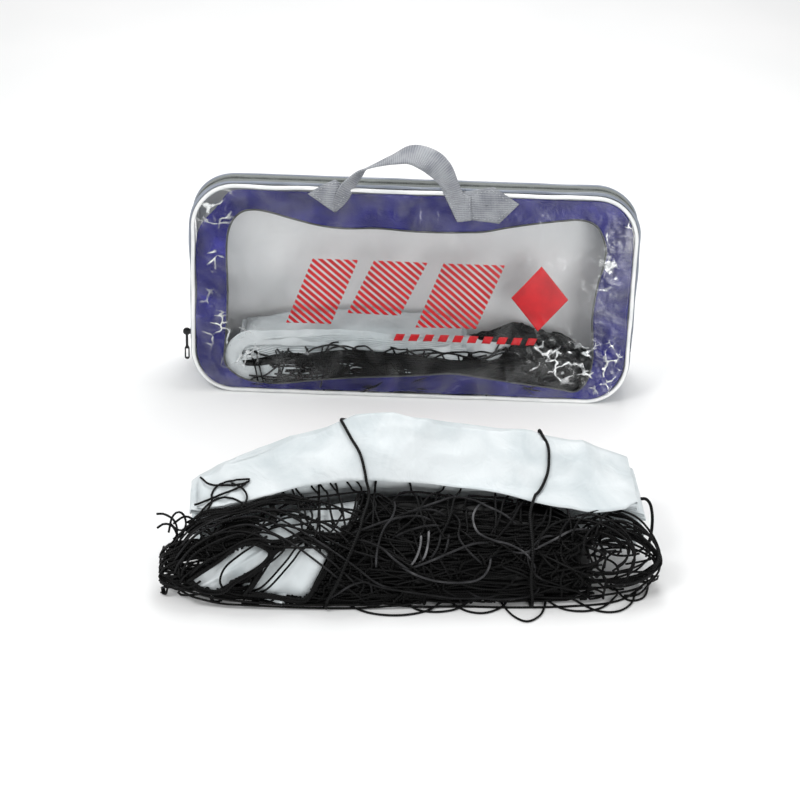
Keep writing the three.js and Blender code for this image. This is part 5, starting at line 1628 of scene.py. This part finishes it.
# %% Loops over the tape's left end, and on the floor
over_tape = [
    [(-188, 28), (-179, 40), (-162, 46), (-147, 48), (-144, 45), (-156, 42), (-171, 43), (-177, 51),
     (-177, 62), (-182, 72)],
    [(-192, 60), (-176, 56), (-162, 53), (-149, 50), (-146, 47)],
    [(-190, 74), (-184, 67), (-174, 59), (-162, 60), (-152, 68), (-147, 74)],
    [(-160, 44), (-151, 52), (-146, 62), (-147, 70), (-152, 76)],
]
for route in over_tape:
    x, across = np.array(route).T
    x, across = smooth_line(np.stack([x, across], 1), 3.0).T
    front_cords.append(over_edge(x, across, 2.2))
    tones_and_glints.append(0.12)
floor_loops = [
    [(76, -366, 3), (79, -378, 1.3), (87, -393, 1.1), (98, -400, 1.1), (110, -392, 1.1), (116, -378, 1.3),
     (118, -366, 3)],
    [(-10, -370, 4), (2, -382, 1.2), (18, -386, 1.1), (36, -383, 1.2), (50, -374, 3)],
    [(30, -372, 3), (46, -385, 1.1), (62, -388, 1.1), (78, -380, 1.3), (86, -368, 3)],
    [(112, -366, 3), (130, -383, 1.2), (150, -387, 1.1), (168, -381, 1.1), (182, -366, 2)],
    [(140, -370, 2), (160, -386, 1.1), (178, -388, 1.1), (192, -378, 1.1), (200, -360, 2)],
    [(-64, -372, 3), (-40, -386, 1.2), (-14, -390, 1.1), (10, -385, 1.1), (26, -374, 3)],
    [(178, -352, 3), (190, -372, 1.1), (204, -370, 1.1), (211, -356, 1.2), (213, -340, 2)],
    [(-30, -374, 2), (0, -380, 2.4), (40, -379, 1.2), (90, -381, 1.1), (140, -380, 1.1), (180, -374, 1.1),
     (206, -356, 2)],
    [(150, -360, 6), (176, -358, 4), (198, -350, 5), (212, -338, 6)],
    [(146, -352, 10), (174, -352, 8), (200, -342, 9), (214, -328, 10)],
]
for route in floor_loops:
    front_cords.append(smooth_line(np.array(route, float), 3.0))
    tones_and_glints.append(0.1)

# %% Lay the rear cords
rear_cords = []
for k in range(22):
    level = 0.04 + 0.92 * (k + 0.5) / 22
    xs = np.linspace(-net_rng.uniform(150, 172), net_rng.uniform(150, 168), 10)
    rear_cords.append(smooth_line(rear_point(xs, np.clip(level + net_rng.normal(0, 0.05, 10), 0.02, 0.97),
        net_rng.normal(-2, 1.4, 10)), 5.0))
for _ in range(100):
    rear_cords.append(link(net_rng.uniform(-150, 150), net_rng.uniform(0.05, 0.9), net_rng.normal(0, 34),
                           net_rng.choice([-1, 1]) * net_rng.uniform(0.2, 0.6),
                           net_rng.uniform(-1, 2), surface=rear_point, low=0.02, high=0.97,
                           limits=(-172, 168)))
rear_tones = 0.6 * net_rng.random(len(rear_cords)) ** 2
print("rear cords:", len(rear_cords))

# %% Make the cords' meshes
def cords_to_piece(name, lines, shades):
    tubes = []
    for line in lines:
        line = to_room(line)
        line[:, 2] = np.maximum(line[:, 2], twine + 0.05)
        tubes.append(tube(line, twine, sides=6))
    piece = tube_piece(name, "net", join_tubes(tubes))
    put_attribute(piece, "tone_and_glint", np.concatenate([np.full(len(t[0]), s) for t, s in zip(tubes, shades)]))
    print(name, len(piece.data.vertices), "points")
    return piece


nets = [cords_to_piece("netting_front", front_cords, tones_and_glints),
        cords_to_piece("netting_rear", rear_cords, rear_tones)]
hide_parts("netting_mesh")

# %% [markdown]
# ## Knots
# Where two cords of a net meet they are knotted. The knot is tied once: a closed cord on the path of a
# trefoil, which is what an overhand knot becomes when it is drawn tight. It is copied to the links' ends,
# each copy turned at random.

# %% Tie one knot and copy it
t = np.linspace(0, 2 * math.pi, 25)[:-1]
trefoil = np.stack([np.sin(t) + 1.6 * np.sin(2 * t), np.cos(t) - 1.6 * np.cos(2 * t),
                    -1.1 * np.sin(3 * t)], -1)
knot_points, knot_faces, knot_uv = tube(trefoil * 0.85, 0.95, sides=5, closed=True)
crossings = [(-97, 1.5), (-82, 1.5), (-84, 1.28), (-93, 1.33), (-62, 1.38), (-61, 1.15), (-89, 1.18),
             (-70, 1.24), (-98, 1.36), (-74, 1.44), (-52, 1.2), (-80, 1.1)]
chosen = ([p for p in link_ends if net_rng.random() < 0.55]
          + [roll_point(x, turn, 2.6) for x, turn in crossings])
spins = []
for _ in chosen:
    q, r = np.linalg.qr(net_rng.normal(size=(3, 3)))
    spins.append(q * np.sign(np.linalg.det(q)))
places = to_room(np.array(chosen))
places[:, 2] = np.maximum(places[:, 2], 3.2)
knots = make_piece("net_knots", *copies(knot_points, knot_faces, places, spins), "net",
                   np.tile(knot_uv, (len(chosen), 1)))
nets.append(knots)
print("knots:", len(chosen))

# %% Black twine
twine_pe, shader, add = new_material("twisted black polyethylene twine")
strip = add("TexCoord", "UV")
across, along = (add("SeparateXYZ", axis, Vector=strip) for axis in "XY")
lay = add("Math", 0, _0=along, _2=across, operation="MULTIPLY_ADD", _1=0.22)
phase = add("Math", 0, _0=lay, operation="MULTIPLY", _1=4 * math.pi)
strands = add("Math", 0, _0=phase, operation="SINE")
place = add("TexCoord", "Object")
patch = add("TexNoise", "Fac", Vector=place, Scale=45.0, Detail=2.0)
# Tone per cord: random on most, with painted highlights on the lighter cords on top.
tone_and_glint = add("Attribute", "Fac", attribute_name="tone_and_glint")
shade = add("Math", 0, _0=tone_and_glint, _1=patch, operation="MULTIPLY")
fill(shader, Base_Color=add("ValToRGB", "Color", Fac=shade,
                            stops=[(0.0, "#030303"), (0.17, "#101011"), (0.36, "#363638"), (0.6, "#88888a")]),
     Normal=add("Bump", "Normal", Height=strands, Strength=0.7, Distance=0.0005), Specular_IOR_Level=0.16,
     Roughness=0.5)
for piece in nets:
    dress(piece, twine_pe)
dress(core, twine_pe)
dress(packed, twine_pe)
dress(packed_net, twine_pe)
dress(packed_band, coated)
dress(packed_end, coated)
dress(rope_tail, twine_pe)

# %% [markdown]
# ## The ties
# Two cords hold the bundle. Each goes right round it: over the tape, down the back, under the netting and
# up the front. They follow the CAD's closed route, but bite a little into the tape and wander as they go
# up the front, and each is knotted behind.

# %% Tie the bundle
tie_radius = 1.4


def tie_route(x, up_front, over_top):
    rear = rear_foot(x)
    shoulder = stack_point(x, (tape_layers - 1) * tape_pitch + 0.6, -6)
    along, turn = np.array(up_front).T
    front = roll_point(along, turn, 4.6)
    along, across = smooth_line(np.array(over_top, float), 6).T
    top = over_edge(along, across, 2.3)
    back = [stack_point(x, 5, across[-1] * 0.55 - 2), stack_point(x, 12, -1), stack_point(x, 23.7, -5),
            stack_point(x, 42, -10), [x, shoulder[1] * 0.4 + rear * 0.6 + 3, shoulder[2] * 0.82 + 3.5],
            [x, rear + 7, shoulder[2] * 0.35], [x, rear + 6, 4], [x, rear, 1.9], [x, rear - 12, 1.9],
            [x, (rear + roll_front) / 2, 1.9], [up_front[0][0], -366, 1.9], [up_front[0][0], -381, 2.2]]
    return smooth_line(np.vstack([front, top, back]), 3.0, closed=True)


ties = []
tie_routes = {
    "tie_left": (-56.1, [(-76, 0.1), (-66, 0.4), (-56, 0.77), (-47, 1.09), (-44, 1.25), (-39, 1.43),
                         (-37, 1.55)], [(-39, 70), (-40, 64), (-44, 47), (-52, 29), (-60, 9), (-61, 6)]),
    "tie_right": (122, [(104, 0.1), (102, 0.4), (104, 0.8), (104, 1.1), (105, 1.35)],
                  [(111, 80), (118, 68), (124, 54), (127, 39), (127, 22), (122, 10), (121, 7)]),
}
for name, (x, up_front, over_top) in tie_routes.items():
    round_bundle = tube(to_room(tie_route(x, up_front, over_top)), tie_radius, sides=8, closed=True)
    knot_place = to_room([stack_point(x, 30, -10)])[0]
    knot = tube(knot_place + trefoil * 1.15 * [1, 1, 0.9], 1.35, sides=8, closed=True)
    tie = tube_piece(f"{name}_cord", "net", join_tubes([round_bundle, knot]))
    put_attribute(tie, "tone_and_glint", np.full(len(tie.data.vertices), 0.2))
    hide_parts(name)
    dress(tie, twine_pe)
    ties.append(tie)
print("ties:", len(ties))

# %% Print the visual box
low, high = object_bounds()
print("visual box in mm:", [round(c / MM, 1) for c in low], [round(c / MM, 1) for c in high])
